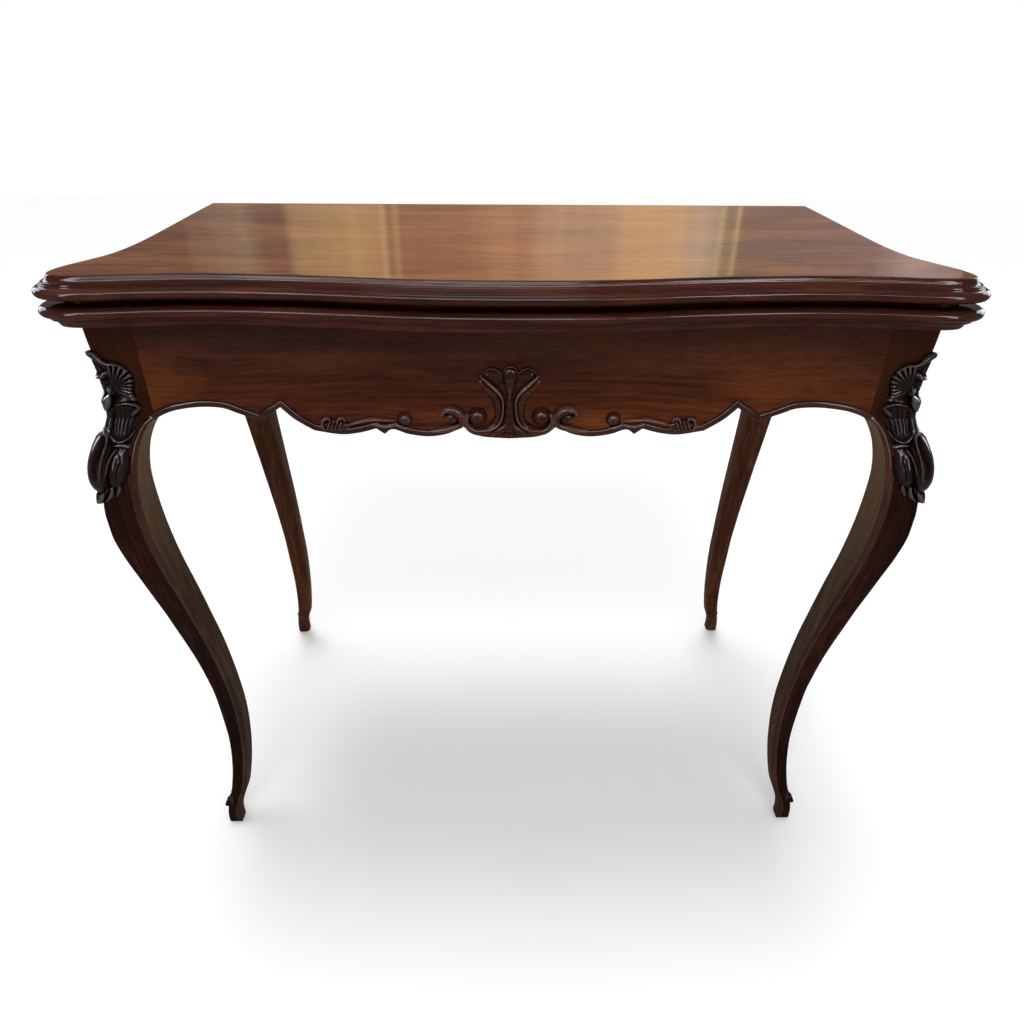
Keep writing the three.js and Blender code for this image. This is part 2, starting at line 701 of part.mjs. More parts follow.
// Ribs fan out from the shell's root, half of them over each face, and grow shorter to the sides
function shell(side) {
  const fullLength = (shellTopShare - shellRootShare) * frameTop;
  const pieces = [];
  for (let i = 0; i < shellRibs; i += 1) {
    const turn = (2 * i) / (shellRibs - 1) - 1;
    const halfLength = (fullLength * (1 - ribShorteningShare * Math.abs(turn))) / 2;
    const rib = new THREE.SphereGeometry(1, ballRings, ballRings).rotateX(Math.PI / 2);
    rib.scale(ribRadius, ribRadius, halfLength * ribOverlapShare);
    if (turn > 0) rib.rotateY(-side * turn * ribSpreadShare);
    if (turn < 0) rib.rotateX(turn * ribSpreadShare);
    const up = shellRootShare + halfLength / frameTop;
    pieces.push(rib.translate(...onKnee(side, up, turn * halfLength * ribSpreadShare, ribInset)));
  }
  return lyingOnLeg(pieces, side);
}

// Inside of the frame
const insideLeft = -(halfFrame - apronSetback - apronThickness) + seatGap;
const insideRight = -insideLeft;
const insideFront = frameFront + apronSetback + apronThickness + seatGap;
const insideBack = frameBack - apronSetback - apronThickness - seatGap;
const floorTop = frameTop - wellDepth;

function legClearances(ends, sidesUsed) {
  return ends.flatMap((end) => sidesUsed.map((side) => legBlank(side, end, seatGap)));
}

function wellFloor() {
  const end = partitionPlace - seatGap;
  const board = block(insideLeft, end, insideFront, insideBack, floorTop - floorThickness, floorTop);
  return cut(board, legClearances([-1, 1], [-1]));
}

function bearer(end) {
  const wall = end < 0 ? insideFront : insideBack;
  const inner = wall - end * bearerSide;
  const top = floorTop - floorThickness - seatGap;
  return block(
    -(halfFrame - legPost - seatGap), partitionPlace - seatGap,
    Math.min(wall, inner), Math.max(wall, inner), top - bearerSide, top,
  );
}

function partition() {
  const foot = floorTop - floorThickness - bearerSide;
  return block(partitionPlace, partitionPlace + partitionThickness, insideFront, insideBack, foot, frameTop);
}

function pivotBoard() {
  const start = partitionPlace + partitionThickness + seatGap;
  const underside = frameTop - pivotBoardThickness;
  const board = block(start, insideRight, insideFront, insideBack, underside, frameTop);
  const seatFloor = frameTop - pivotPlateThickness - seatGap;
  const seat = atPivot(disc(pivotPlateRadius + seatGap, seatFloor, frameTop + cutOverrun));
  return cut(board, [...legClearances([-1, 1], [1]), pivotBolt(turningGap), seat, stopGroove()]);
}

// The assembly
const table = new THREE.Group();
const frame = new THREE.Group();
const turningTop = new THREE.Group();
const flap = new THREE.Group();
turningTop.add(flap);
table.add(frame, turningTop);

function add(group, name, geometry, look) {
  const mesh = new THREE.Mesh(geometry, new THREE.MeshStandardMaterial(look));
  mesh.name = name;
  group.add(mesh);
}

sides.forEach(([sideName, side]) => {
  add(frame, `leg_front_${sideName}`, leg(side, -1), rosewood);
  add(frame, `leg_rear_${sideName}`, leg(side, 1), rosewood);
  add(frame, `apron_${sideName}`, sideApron(side), rosewood);
  add(frame, `knee_shell_${sideName}`, shell(side), darkCarving);
  add(frame, `knee_cartouche_${sideName}`, cartouche(side), darkCarving);
  add(frame, `apron_scroll_${sideName}`, edgeScroll(side, scrollShares, [budShares]), darkCarving);
  add(frame, `apron_leaf_${sideName}`, edgeScroll(side, leafCurlShares, []), darkCarving);
});
add(frame, 'apron_front', frontApron(), rosewood);
add(frame, 'apron_rear', rearApron(), rosewood);
add(frame, 'apron_palmette', palmette(), darkCarving);
add(frame, 'well_floor', wellFloor(), plainInside);
add(frame, 'well_bearer_front', bearer(-1), plainInside);
add(frame, 'well_bearer_rear', bearer(1), plainInside);
add(frame, 'well_partition', partition(), plainInside);
add(frame, 'pivot_board', pivotBoard(), plainInside);

const boltRoom = pivotBoltRadius + seatGap;
const ringBase = frameTop - pivotPlateThickness;
const washerTop = frameTop - pivotBoardThickness - seatGap;
const nutTop = washerTop - washerThickness - seatGap;
add(frame, 'pivot_ring', atPivot(ring(boltRoom, pivotPlateRadius, ringBase, frameTop)), iron);
const washer = ring(boltRoom, washerRadius, washerTop - washerThickness, washerTop);
add(frame, 'pivot_washer', atPivot(washer), iron);

add(turningTop, 'lower_leaf', lowerLeaf(), rosewood);
add(turningTop, 'lower_baize', baizeSheet(foldHeight - leafGap / 2, -1), greenBaize);
const plateTop = lowerLeafBase + pivotPlateThickness - seatGap;
add(turningTop, 'pivot_plate', atPivot(ring(boltRoom, pivotPlateRadius, lowerLeafBase, plateTop)), iron);
add(turningTop, 'pivot_bolt', pivotBolt(), iron);
const nut = cut(disc(nutRadius, nutTop - nutHeight, nutTop, nutSides), [disc(boltRoom, 0, frameTop)]);
add(turningTop, 'pivot_nut', atPivot(nut), iron);
add(turningTop, 'stop_peg', stopPeg(), plainInside);
add(flap, 'upper_leaf', upperLeaf(), polishedTop);
add(flap, 'upper_baize', baizeSheet(foldHeight + leafGap / 2, 1), greenBaize);

sides.forEach(([sideName, side]) => {
  const pin = knuckle(-hingeLength / 2, hingeLength / 2, hingePinRadius);
  add(turningTop, `hinge_lower_${sideName}`, atHinge(hingePlate(-1), side), brass);
  add(turningTop, `hinge_pin_${sideName}`, atHinge(pin, side), brass);
  add(flap, `hinge_upper_${sideName}`, atHinge(hingePlate(1), side), brass);
  [['lower', -1, turningTop], ['upper', 1, flap]].forEach(([level, rise, group]) => {
    screwPlaces(rise).forEach((place, i) => {
      add(group, `hinge_screw_${level}_${sideName}_${i + 1}`, atHinge(hingeScrew(place), side), brass);
    });
  });
});

// The origin lies on the floor under the middle of the whole table
const farthestFront = -frontBulge - crestReach;
const farthestBack = frameBack + kneeShare * legPost;
table.position.y = -(farthestFront + farthestBack) / 2;

export default table;
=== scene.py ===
"""Folding games table: serpentine leaves, cabriole legs, carved apron and knees, card well and swivel.

Pieces are drawn in millimetres in the maker's frame, where y is 0 at the front corners of the top, and
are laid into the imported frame, in metres, as they are finished.
"""
import logging
import math
from dataclasses import dataclass
from enum import Enum
from functools import partial
from typing import Callable, Iterable, Sequence

import bmesh
import bpy
import numpy as np
from mathutils import Matrix, Vector


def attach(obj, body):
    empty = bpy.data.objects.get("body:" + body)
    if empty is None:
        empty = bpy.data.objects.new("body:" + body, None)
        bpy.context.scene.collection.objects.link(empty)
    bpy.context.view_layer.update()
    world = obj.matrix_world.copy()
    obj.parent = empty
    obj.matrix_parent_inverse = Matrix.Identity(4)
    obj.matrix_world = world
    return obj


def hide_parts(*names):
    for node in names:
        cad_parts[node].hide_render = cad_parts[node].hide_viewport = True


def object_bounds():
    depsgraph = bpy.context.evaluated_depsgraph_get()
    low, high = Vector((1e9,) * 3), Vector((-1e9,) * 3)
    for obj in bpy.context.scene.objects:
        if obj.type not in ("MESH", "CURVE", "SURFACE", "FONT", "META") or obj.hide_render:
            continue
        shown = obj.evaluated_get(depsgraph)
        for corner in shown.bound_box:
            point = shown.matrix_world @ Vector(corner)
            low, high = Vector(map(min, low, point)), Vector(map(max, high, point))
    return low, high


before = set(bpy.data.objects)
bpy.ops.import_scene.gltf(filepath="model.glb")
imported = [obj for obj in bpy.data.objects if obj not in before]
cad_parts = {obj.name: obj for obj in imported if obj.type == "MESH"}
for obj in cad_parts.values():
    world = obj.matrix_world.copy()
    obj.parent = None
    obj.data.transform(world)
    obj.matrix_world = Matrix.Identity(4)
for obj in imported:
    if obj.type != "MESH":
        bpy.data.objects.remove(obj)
cad_box = [list(corner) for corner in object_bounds()]
log = logging.getLogger("games_table")

Colour = tuple[float, float, float]
MILLIMETRE = 0.001
SAME_PLACE = 1e-4
TOP_BULGE = 17.0
CREST = 17.0
FRONT_TO_ORIGIN = -cad_box[0][1] / MILLIMETRE - TOP_BULGE - CREST
FRAME_TOP = 704.6
FRAME_FRONT = 8.0
FRAME_BACK = 415.0
HALF_FRAME = 393.5
FRAME_MIDDLE = 211.5
POST = 45.5
SEAT_GAP = 0.3
HALF_FRONT = HALF_FRAME - POST - SEAT_GAP
HALF_SIDE = (FRAME_BACK - FRAME_FRONT) / 2 - POST - SEAT_GAP
FOLD_HEIGHT = 727.45
PIVOT = (101.75, 313.25)
HINGE_PLACE = 322.0


class Grain(Enum):
    """Axis along which the wood's fibres run."""

    ALONG = (1.0, 0.0, 0.0)
    DEEP = (0.0, 1.0, 0.0)
    UPRIGHT = (0.0, 0.0, 1.0)


class Side(Enum):
    """Left or right half of the table, seen from the front."""

    LEFT = -1
    RIGHT = 1


class End(Enum):
    """Front or rear of the table."""

    FRONT = -1
    REAR = 1


# ---- Shader networks ----
@dataclass
class Network:
    """Node tree of one material, world or lamp, with short calls for its nodes."""

    material: bpy.types.ID

    @classmethod
    def start(cls, name: str) -> "Network":
        """Opens an empty node tree.

        Args:
            name: name of the new material.

        Returns:
            The network of that material.
        """
        material = bpy.data.materials.new(name)
        material.use_nodes = True
        material.node_tree.nodes.clear()
        return cls(material)

    def add(self, kind: str, sockets: dict | None = None, **settings: object) -> bpy.types.Node:
        """Adds a node.

        Args:
            kind: node type without its ShaderNode prefix.
            sockets: values or links of its inputs, by name or number.
            settings: the node's own properties.

        Returns:
            The node.
        """
        node = self.material.node_tree.nodes.new("ShaderNode" + kind)
        for key, value in settings.items():
            setattr(node, key, value)
        for key, value in (sockets or {}).items():
            self.feed(node.inputs[key], value)
        return node

    def feed(self, socket: bpy.types.NodeSocket, value: object) -> None:
        """Links or sets one input.

        Args:
            socket: the input.
            value: an output socket, or a plain value.
        """
        if isinstance(value, bpy.types.NodeSocket):
            self.material.node_tree.links.new(value, socket)
        elif isinstance(value, tuple) and len(value) == 3 and socket.type == "RGBA":
            socket.default_value = (*value, 1.0)
        else:
            socket.default_value = value

    def noise(self, place: object, scale: float, detail: float = 4.0, rough: float = 0.55) -> object:
        """Fractal noise."""
        sockets = {"Vector": place, "Scale": scale, "Detail": detail, "Roughness": rough}
        return self.add("TexNoise", sockets).outputs["Fac"]

    def maths(self, operation: str, first: object, second: object = 0.0) -> object:
        """One sum on two numbers."""
        return self.add("Math", {0: first, 1: second}, operation=operation).outputs[0]

    def times(self, first: object, second: object) -> object:
        """Product of two numbers."""
        return self.maths("MULTIPLY", first, second)

    def plus(self, first: object, second: object) -> object:
        """Sum of two numbers."""
        return self.maths("ADD", first, second)

    def vector(self, operation: str, first: object, sockets: dict) -> object:
        """One operation on a vector."""
        return self.add("VectorMath", {0: first, **sockets}, operation=operation).outputs[0]

    def span(self, value: object, low: float, high: float, to_low: float = 0.0, to_high: float = 1.0) -> object:
        """Maps a range on to another, with its ends held."""
        sockets = {0: value, 1: low, 2: high, 3: to_low, 4: to_high}
        return self.add("MapRange", sockets, clamp=True).outputs[0]

    def blend(self, share: object, first: object, second: object, mode: str = "MIX") -> object:
        """Mixes two colours.

        Args:
            share: weight of the second.
            first: first colour.
            second: second colour.
            mode: way of mixing.

        Returns:
            The colour output.
        """
        node = self.add("Mix", data_type="RGBA", blend_type=mode)
        self.feed(node.inputs[0], share)
        self.feed(node.inputs[6], first)
        self.feed(node.inputs[7], second)
        return node.outputs[2]

    def shader(self, sockets: dict) -> bpy.types.Node:
        """Adds the surface shader and its output.

        Args:
            sockets: its inputs.

        Returns:
            The shader node.
        """
        surface = self.add("BsdfPrincipled", sockets)
        self.add("OutputMaterial", {"Surface": surface.outputs[0]})
        return surface


@dataclass(frozen=True)
class Wood:
    """French polished wood with streaks, pores and the waviness of hand polishing."""

    name: str
    grain: Grain
    dark: Colour
    middle: Colour
    light: Colour
    roughness: float = 0.3
    coat: float = 0.13
    coat_roughness: float = 0.1
    specular: float = 0.0
    streak_length: float = 0.14
    streak_width: float = 0.007
    pore_depth: float = 0.35
    pore_height: float = 0.00008
    pore_scale: tuple[float, float] = (60.0, 1900.0)
    wave_height: float = 0.0005
    wave_scale: float = 16.0
    smudge_scale: float = 14.0
    sway: float = 0.022
    sway_scale: float = 5.0
    figure_share: float = 0.58
    coat_ior: float = 1.45
    # painted shade in a carving's hollows and painted highlight on its crests, by its ridge attribute
    painted_relief_shading: bool = False
    vein_share: float = 0.35
    vein_width: float = 0.014
    glow: Colour | None = None
    glow_scale: tuple[float, float] = (5.0, 17.0)
    # shade and shade_span: the colour moves towards shade between these heights; on the aprons this is painted
    # shade under the top's overhang, on the inner leg faces painted light growing towards the top, on the front
    # legs a lighter, redder top of the post
    shade: Colour | None = None
    shade_span: tuple[float, float] = (0.645, 0.71)
    # painted highlight: colour towards which a carving's highest crests are lightened
    painted_crest_highlight: Colour | None = None
    scratches: bool = False
    scratch_scale: tuple[float, float] = (30.0, 700.0)

    def stretch(self, along: float, across: float) -> Colour:
        """Scale vector that is `along` on the grain's axis and `across` on the others."""
        return tuple(along if axis else across for axis in self.grain.value)

    def stretched(self, net: Network, place: object, along: float, across: float) -> object:
        """Scales coordinates to the grain."""
        return net.add("Mapping", {"Vector": place, "Scale": self.stretch(along, across)}).outputs[0]

    def material(self) -> bpy.types.Material:
        """Builds the material."""
        net = Network.start(self.name)
        place = net.add("TexCoord").outputs["Object"]
        sway = net.add("TexNoise", {"Vector": place, "Scale": self.sway_scale, "Detail": 2.0}).outputs["Color"]
        centred = net.vector("SUBTRACT", sway, {1: (0.5, 0.5, 0.5)})
        warped = net.vector("ADD", place, {1: net.vector("SCALE", centred, {"Scale": self.sway})})
        length, width = 1 / self.streak_length, 1 / self.streak_width
        figure = net.noise(self.stretched(net, warped, length, width), 1.0, 6.0, 0.62)
        broad = net.noise(self.stretched(net, warped, length * 0.45, width * 0.12), 1.0, 3.0)
        fine = net.noise(self.stretched(net, warped, *self.pore_scale), 1.0, 2.0)
        both = net.plus(net.times(figure, self.figure_share), net.times(broad, 1 - self.figure_share))
        ramp = net.add("ValToRGB", {0: net.span(both, 0.33, 0.67)})
        stops = ramp.color_ramp.elements
        stops[0].position, stops[0].color = 0.05, (*self.dark, 1)
        stops[1].position, stops[1].color = 0.95, (*self.light, 1)
        middle = stops.new(0.5)
        middle.color = (*self.middle, 1)
        pores = net.span(fine, 0.34, 0.5, 1.0, 0.0)
        pore_share = net.times(pores, self.pore_depth)
        colour = ramp.outputs[0]
        if self.glow:
            patch = net.noise(self.stretched(net, warped, *self.glow_scale), 1.0, 3.0, 0.5)
            colour = net.blend(net.span(patch, 0.47, 0.66, 0.0, 0.6), colour, self.glow)
        # painted shading by height: the colour is blended towards shade between the heights of shade_span
        if self.shade:
            height = net.add("SeparateXYZ", {0: place}).outputs["Z"]
            height = net.plus(height, net.times(broad, 0.04))
            colour = net.blend(net.span(height, *self.shade_span, 0.0, 0.75), colour, self.shade)
        colour = net.blend(pore_share, colour, tuple(c * 0.35 for c in self.dark))
        winding = net.noise(self.stretched(net, warped, length * 0.4, width * 0.2), 1.0, 3.0, 0.5)
        off_line = net.maths("ABSOLUTE", net.maths("SUBTRACT", winding, 0.5))
        vein = net.span(off_line, 0.0, self.vein_width, self.vein_share, 0.0)
        colour = net.blend(vein, colour, self.dark)
        smudge = net.noise(place, self.smudge_scale, 5.0, 0.6)
        rough = net.span(smudge, 0.3, 0.75, self.roughness * 0.8, self.roughness * 1.35)
        coat = self.coat
        # painted shade darkens the hollows towards near black and painted highlight lightens the crests; the
        # coat is also weighted towards the crests
        if self.painted_relief_shading:
            depth = net.add("Attribute", attribute_name="ridge").outputs["Fac"]
            colour = net.blend(net.span(depth, 0.0, 0.5, 0.9, 0.0), colour, tuple(c * 0.2 for c in self.dark))
            colour = net.blend(net.span(depth, 0.62, 1.0, 0.0, 0.7), colour, self.light)
            coat = net.span(depth, 0.38, 0.8, self.coat * 0.12, self.coat * 1.8)
            # painted highlight on the highest crests
            if self.painted_crest_highlight:
                colour = net.blend(net.span(depth, 0.76, 1.0, 0.0, 0.7), colour, self.painted_crest_highlight)
        if self.scratches:
            marks = net.noise(self.stretched(net, place, *self.scratch_scale), 1.0, 3.0)
            zone = net.span(net.noise(place, 4.0, 2.0), 0.5, 0.72)
            wear = net.times(net.span(marks, 0.68, 0.8), zone)
            colour = net.blend(net.times(wear, 0.25), colour, tuple(min(1, c * 2.4) for c in self.light))
            rough = net.plus(rough, net.times(wear, 0.15))
        waves = net.noise(place, self.wave_scale, 2.0)
        wave = net.add("Bump", {"Strength": 0.5, "Distance": self.wave_height, "Height": waves})
        pit = net.add("Bump", {
            "Strength": 0.25, "Distance": self.pore_height, "Height": net.maths("SUBTRACT", 1.0, pores),
            "Normal": wave.outputs[0],
        })
        net.shader({
            "Base Color": colour, "Roughness": rough, "Normal": pit.outputs[0],
            "Specular IOR Level": self.specular, "Coat Weight": coat,
            "Coat Roughness": self.coat_roughness, "Coat IOR": self.coat_ior,
        })
        return net.material


@dataclass(frozen=True)
class Baize:
    """Felted green wool."""

    name: str = "green_baize"
    dark: Colour = (0.018, 0.075, 0.033)
    light: Colour = (0.05, 0.15, 0.07)

    def material(self) -> bpy.types.Material:
        """Builds the material."""
        net = Network.start(self.name)
        place = net.add("TexCoord").outputs["Object"]
        fibre = net.noise(place, 900.0, 4.0, 0.7)
        cloud = net.noise(place, 9.0, 5.0, 0.6)
        both = net.plus(net.times(fibre, 0.6), net.times(cloud, 0.4))
        colour = net.blend(net.span(both, 0.35, 0.65), self.dark, self.light)
        bump = net.add("Bump", {"Strength": 0.6, "Distance": 0.0004, "Height": fibre})
        net.shader({
            "Base Color": colour, "Roughness": 0.95, "Normal": bump.outputs[0],
            "Specular IOR Level": 0.15, "Sheen Weight": 0.5, "Sheen Roughness": 0.5,
        })
        return net.material


@dataclass(frozen=True)
class Metal:
    """Old metal with patches of patina and brighter, rubbed areas."""

    name: str
    bright: Colour
    dull: Colour
    roughness: float = 0.35

    def material(self) -> bpy.types.Material:
        """Builds the material."""
        net = Network.start(self.name)
        place = net.add("TexCoord").outputs["Object"]
        patina = net.noise(place, 120.0, 6.0, 0.65)
        grit = net.noise(place, 1500.0, 3.0, 0.6)
        colour = net.blend(net.span(patina, 0.35, 0.68), self.bright, self.dull)
        rough = net.span(patina, 0.3, 0.7, self.roughness * 0.75, self.roughness * 1.6)
        bump = net.add("Bump", {"Strength": 0.3, "Distance": 0.00006, "Height": grit})
        net.shader({"Base Color": colour, "Metallic": 1.0, "Roughness": rough, "Normal": bump.outputs[0]})
        return net.material


class Finishes:
    """Every material of the table, built once."""

    dark_red = dict(dark=(0.026, 0.0062, 0.0028), middle=(0.078, 0.018, 0.0058), light=(0.155, 0.038, 0.011))
    deep_red = dict(dark=(0.007, 0.002, 0.0012), middle=(0.0185, 0.0048, 0.0024), light=(0.046, 0.0125, 0.0056))
    moulding = dict(dark=(0.02, 0.0058, 0.0036), middle=(0.052, 0.0135, 0.0075), light=(0.1, 0.028, 0.015))
    bead = dict(dark=(0.016, 0.005, 0.003), middle=(0.043, 0.0132, 0.0072), light=(0.09, 0.03, 0.0165))
    inside = dict(dark=(0.13, 0.075, 0.036), middle=(0.22, 0.135, 0.068), light=(0.32, 0.21, 0.115))

    def __init__(self) -> None:
        """Builds the materials."""
        # the aprons' wood darkens and cools towards the top: painted shade under the top's overhang
        red = dict(**self.dark_red, streak_length=0.18, streak_width=0.0036, pore_depth=0.5, coat=0.08,
                   glow=(0.26, 0.07, 0.013), shade=(0.03, 0.0125, 0.0105))
        cut = dict(roughness=0.32, painted_relief_shading=True, streak_length=0.05, streak_width=0.004, pore_depth=0.15,
                   wave_height=0.0002)
        self.upright = Wood(
            "rosewood_upright", Grain.UPRIGHT, **self.deep_red, streak_width=0.005, coat=0.06,
            shade=(0.052, 0.0135, 0.0046), shade_span=(0.61, 0.67),
        ).material()
        # the front legs' inner faces: a painted sheen, lighter and greyer than the front faces, with painted
        # light growing towards the top
        self.leg_inside = Wood(
            "rubbed_leg_inside", Grain.UPRIGHT, (0.028, 0.0145, 0.0078), (0.058, 0.032, 0.0165),
            (0.1, 0.06, 0.032), streak_width=0.005, coat=0.06, coat_roughness=0.25,
            shade=(0.18, 0.113, 0.06), shade_span=(0.44, 0.6),
        ).material()
        self.bead_upright, self.bead_along, self.bead_deep = (
            Wood(f"bead_{grain.name.lower()}", grain, **self.bead, coat=0.2, coat_roughness=0.12).material()
            for grain in (Grain.UPRIGHT, Grain.ALONG, Grain.DEEP))
        # the rear legs are painted lighter and warmer than the front legs: the same rosewood with painted light
        self.rear = Wood(
            "rosewood_rear", Grain.UPRIGHT, (0.03, 0.0095, 0.004), (0.08, 0.027, 0.0105), (0.14, 0.053, 0.021),
            streak_width=0.005, coat=0.08,
        ).material()
        self.along, self.deep = (Wood(f"rosewood_{grain.name.lower()}", grain, **red).material()
                                 for grain in (Grain.ALONG, Grain.DEEP))
        self.top = Wood(
            "polished_top_wood", Grain.ALONG, (0.06, 0.0165, 0.0062), (0.122, 0.0355, 0.0105),
            (0.2, 0.066, 0.0185), coat=0.12, coat_roughness=0.07, streak_length=0.13, streak_width=0.0115,
            pore_depth=0.5, vein_share=0.6, glow=(0.24, 0.085, 0.022), scratches=True,
        ).material()
        self.edge, self.edge_deep = (
            Wood(f"moulding_{grain.name.lower()}", grain, **self.moulding, coat=0.15, coat_roughness=0.055,
                 streak_length=0.2).material()
            for grain in (Grain.ALONG, Grain.DEEP))
        self.carved = Wood(
            "dark_carved_wood", Grain.UPRIGHT, (0.006, 0.0028, 0.0024), (0.011, 0.0048, 0.0038),
            (0.022, 0.0095, 0.0074), coat=0.2, coat_roughness=0.15, painted_crest_highlight=(0.085, 0.072, 0.072), **cut,
        ).material()
        self.apron_carving = Wood(
            "brown_carved_wood", Grain.ALONG, (0.014, 0.0046, 0.003), (0.036, 0.0115, 0.007),
            (0.1, 0.036, 0.023), coat=0.15, coat_roughness=0.17, painted_crest_highlight=(0.15, 0.082, 0.064), **cut,
        ).material()
        self.plain = Wood(
            "plain_inside_wood", Grain.DEEP, **self.inside, roughness=0.7, coat=0.0, specular=0.3,
            streak_width=0.01, wave_height=0.0002,
        ).material()
        self.baize = Baize().material()
        self.brass = Metal("aged_brass", (0.5, 0.33, 0.12), (0.2, 0.12, 0.045)).material()
        self.iron = Metal("dark_iron", (0.16, 0.155, 0.15), (0.05, 0.046, 0.042), roughness=0.42).material()


# ---- Shaping ----
def smooth_run(rows: Sequence, steps: int) -> np.ndarray:
    """Even spline through rows of numbers, as the part's source draws it.

    Args:
        rows: points, each of any number of coordinates.
        steps: samples for each stretch between two rows.

    Returns:
        The samples, both ends included.
    """
    rows = np.asarray(rows, float)
    padded = np.vstack([rows[:1], rows, rows[-1:]])
    t = np.linspace(0, 1, steps, endpoint=False)[:, None]
    parts = []
    for a, b, c, d in zip(padded, padded[1:], padded[2:], padded[3:]):
        leave, arrive = (c - a) / 2, (d - b) / 2
        parts.append((2 * b - 2 * c + leave + arrive) * t**3 + (3 * c - 3 * b - 2 * leave - arrive) * t**2
                     + leave * t + b)
    return np.vstack([*parts, rows[-1:]])


def shares_along(points: np.ndarray) -> np.ndarray:
    """How far along a line each of its points lies, from 0 to 1."""
    steps = np.linalg.norm(np.diff(points[:, :2], axis=0), axis=1)
    return np.concatenate([[0], np.cumsum(steps)]) / steps.sum()


def spread(points: np.ndarray, shares: np.ndarray) -> np.ndarray:
    """Points at given shares of a line's length."""
    far = shares_along(points)
    return np.stack([np.interp(shares, far, column) for column in points.T], axis=1)


def even_run(points: np.ndarray, count: int) -> np.ndarray:
    """Spreads a number of points evenly along a line."""
    return spread(points, np.linspace(0, 1, count))


def arc(centre: tuple, radii: tuple, start: float, stop: float, count: int) -> np.ndarray:
    """Points on an ellipse's arc."""
    a = np.radians(np.linspace(start, stop, count))
    return np.stack([centre[0] + radii[0] * np.cos(a), centre[1] + radii[1] * np.sin(a)], axis=1)


def surface(bm: bmesh.types.BMesh, rows: np.ndarray) -> list:
    """Lays a tube of faces over rings of points.

    Args:
        bm: mesh to add to.
        rows: array of stations, points and coordinates.

    Returns:
        The tube's vertices.
    """
    rows = np.concatenate([rows, rows[:, :1]], axis=1)
    high, wide = rows.shape[0] - 1, rows.shape[1] - 1
    made = bmesh.ops.create_grid(bm, x_segments=wide, y_segments=high, size=1.0)["verts"]
    for vert in made:
        vert.co = rows[round((vert.co.y + 1) / 2 * high), round((vert.co.x + 1) / 2 * wide)]
    bmesh.ops.remove_doubles(bm, verts=made, dist=SAME_PLACE)
    return [v for v in made if v.is_valid]


def edges_of(verts: Iterable) -> list:
    """Edges that touch some vertices, each once, in an order that is the same each run."""
    return list(dict.fromkeys(e for v in verts if v.is_valid for e in v.link_edges))


def close_ends(bm: bmesh.types.BMesh, verts: Iterable) -> None:
    """Fills the open ends of a tube."""
    bmesh.ops.holes_fill(bm, edges=[e for e in edges_of(verts) if e.is_boundary], sides=0)


def plank(bm: bmesh.types.BMesh, outline: np.ndarray, thickness: float) -> None:
    """Cuts a board from an outline in the XZ plane, its show face at y = 0.

    Args:
        bm: mesh to add to.
        outline: the board's corners, x and z.
        thickness: how far it goes back.
    """
    verts = bmesh.ops.create_circle(bm, segments=len(outline), radius=1.0, cap_ends=False)["verts"]
    for vert, (x, z) in zip(verts, outline):
        vert.co = (x, 0.0, z)
    face = bmesh.ops.edgeloop_fill(bm, edges=edges_of(verts))["faces"]
    grown = bmesh.ops.extrude_face_region(bm, geom=face, use_keep_orig=True)["geom"]
    moved = [g for g in grown if isinstance(g, bmesh.types.BMVert)]
    bmesh.ops.translate(bm, verts=moved, vec=(0.0, thickness, 0.0))


def block(bm: bmesh.types.BMesh, low: Sequence[float], high: Sequence[float], bevel: float = 0.0) -> None:
    """Adds a square block.

    Args:
        bm: mesh to add to.
        low: its lowest corner.
        high: its highest corner.
        bevel: how much its edges are eased.
    """
    verts = bmesh.ops.create_cube(bm, size=1.0)["verts"]
    middle = [(a + b) / 2 for a, b in zip(low, high)]
    bmesh.ops.scale(bm, verts=verts, vec=[b - a for a, b in zip(low, high)])
    bmesh.ops.translate(bm, verts=verts, vec=middle)
    if bevel:
        ease(bm, edges_of(verts), bevel)


def ease(bm: bmesh.types.BMesh, edges: Iterable, width: float, segments: int = 2) -> None:
    """Rounds edges a little."""
    bmesh.ops.bevel(bm, geom=list(edges), offset=width, offset_type="OFFSET", affect="EDGES",
                    segments=segments, profile=0.5, material=-1, clamp_overlap=True)


def turn(bm: bmesh.types.BMesh, rows: Sequence, steps: int, axis: str = "Z") -> list:
    """Turns a closed or axis-to-axis section on a lathe.

    Args:
        bm: mesh to add to.
        rows: radius and height of each point.
        steps: facets round the axis.
        axis: Z for an upright piece, X for one that lies along the table, Y for one that points back.

    Returns:
        The new vertices.
    """
    before = set(bm.verts)
    verts = [bm.verts.new((max(r, 0.0), 0.0, z)) for r, z in rows]
    edges = [bm.edges.new(pair) for pair in zip(verts, verts[1:])]
    bmesh.ops.spin(bm, geom=verts + edges, cent=(0, 0, 0), axis=(0, 0, 1), angle=2 * math.pi,
                   steps=steps, use_merge=True)
    new = [v for v in bm.verts if v not in before]
    bmesh.ops.remove_doubles(bm, verts=new, dist=SAME_PLACE)
    new = [v for v in new if v.is_valid]
    if axis == "X":
        bmesh.ops.rotate(bm, verts=new, cent=(0, 0, 0), matrix=Matrix.Rotation(math.pi / 2, 3, "Y"))
    if axis == "Y":
        bmesh.ops.rotate(bm, verts=new, cent=(0, 0, 0), matrix=Matrix.Rotation(-math.pi / 2, 3, "X"))
    return new


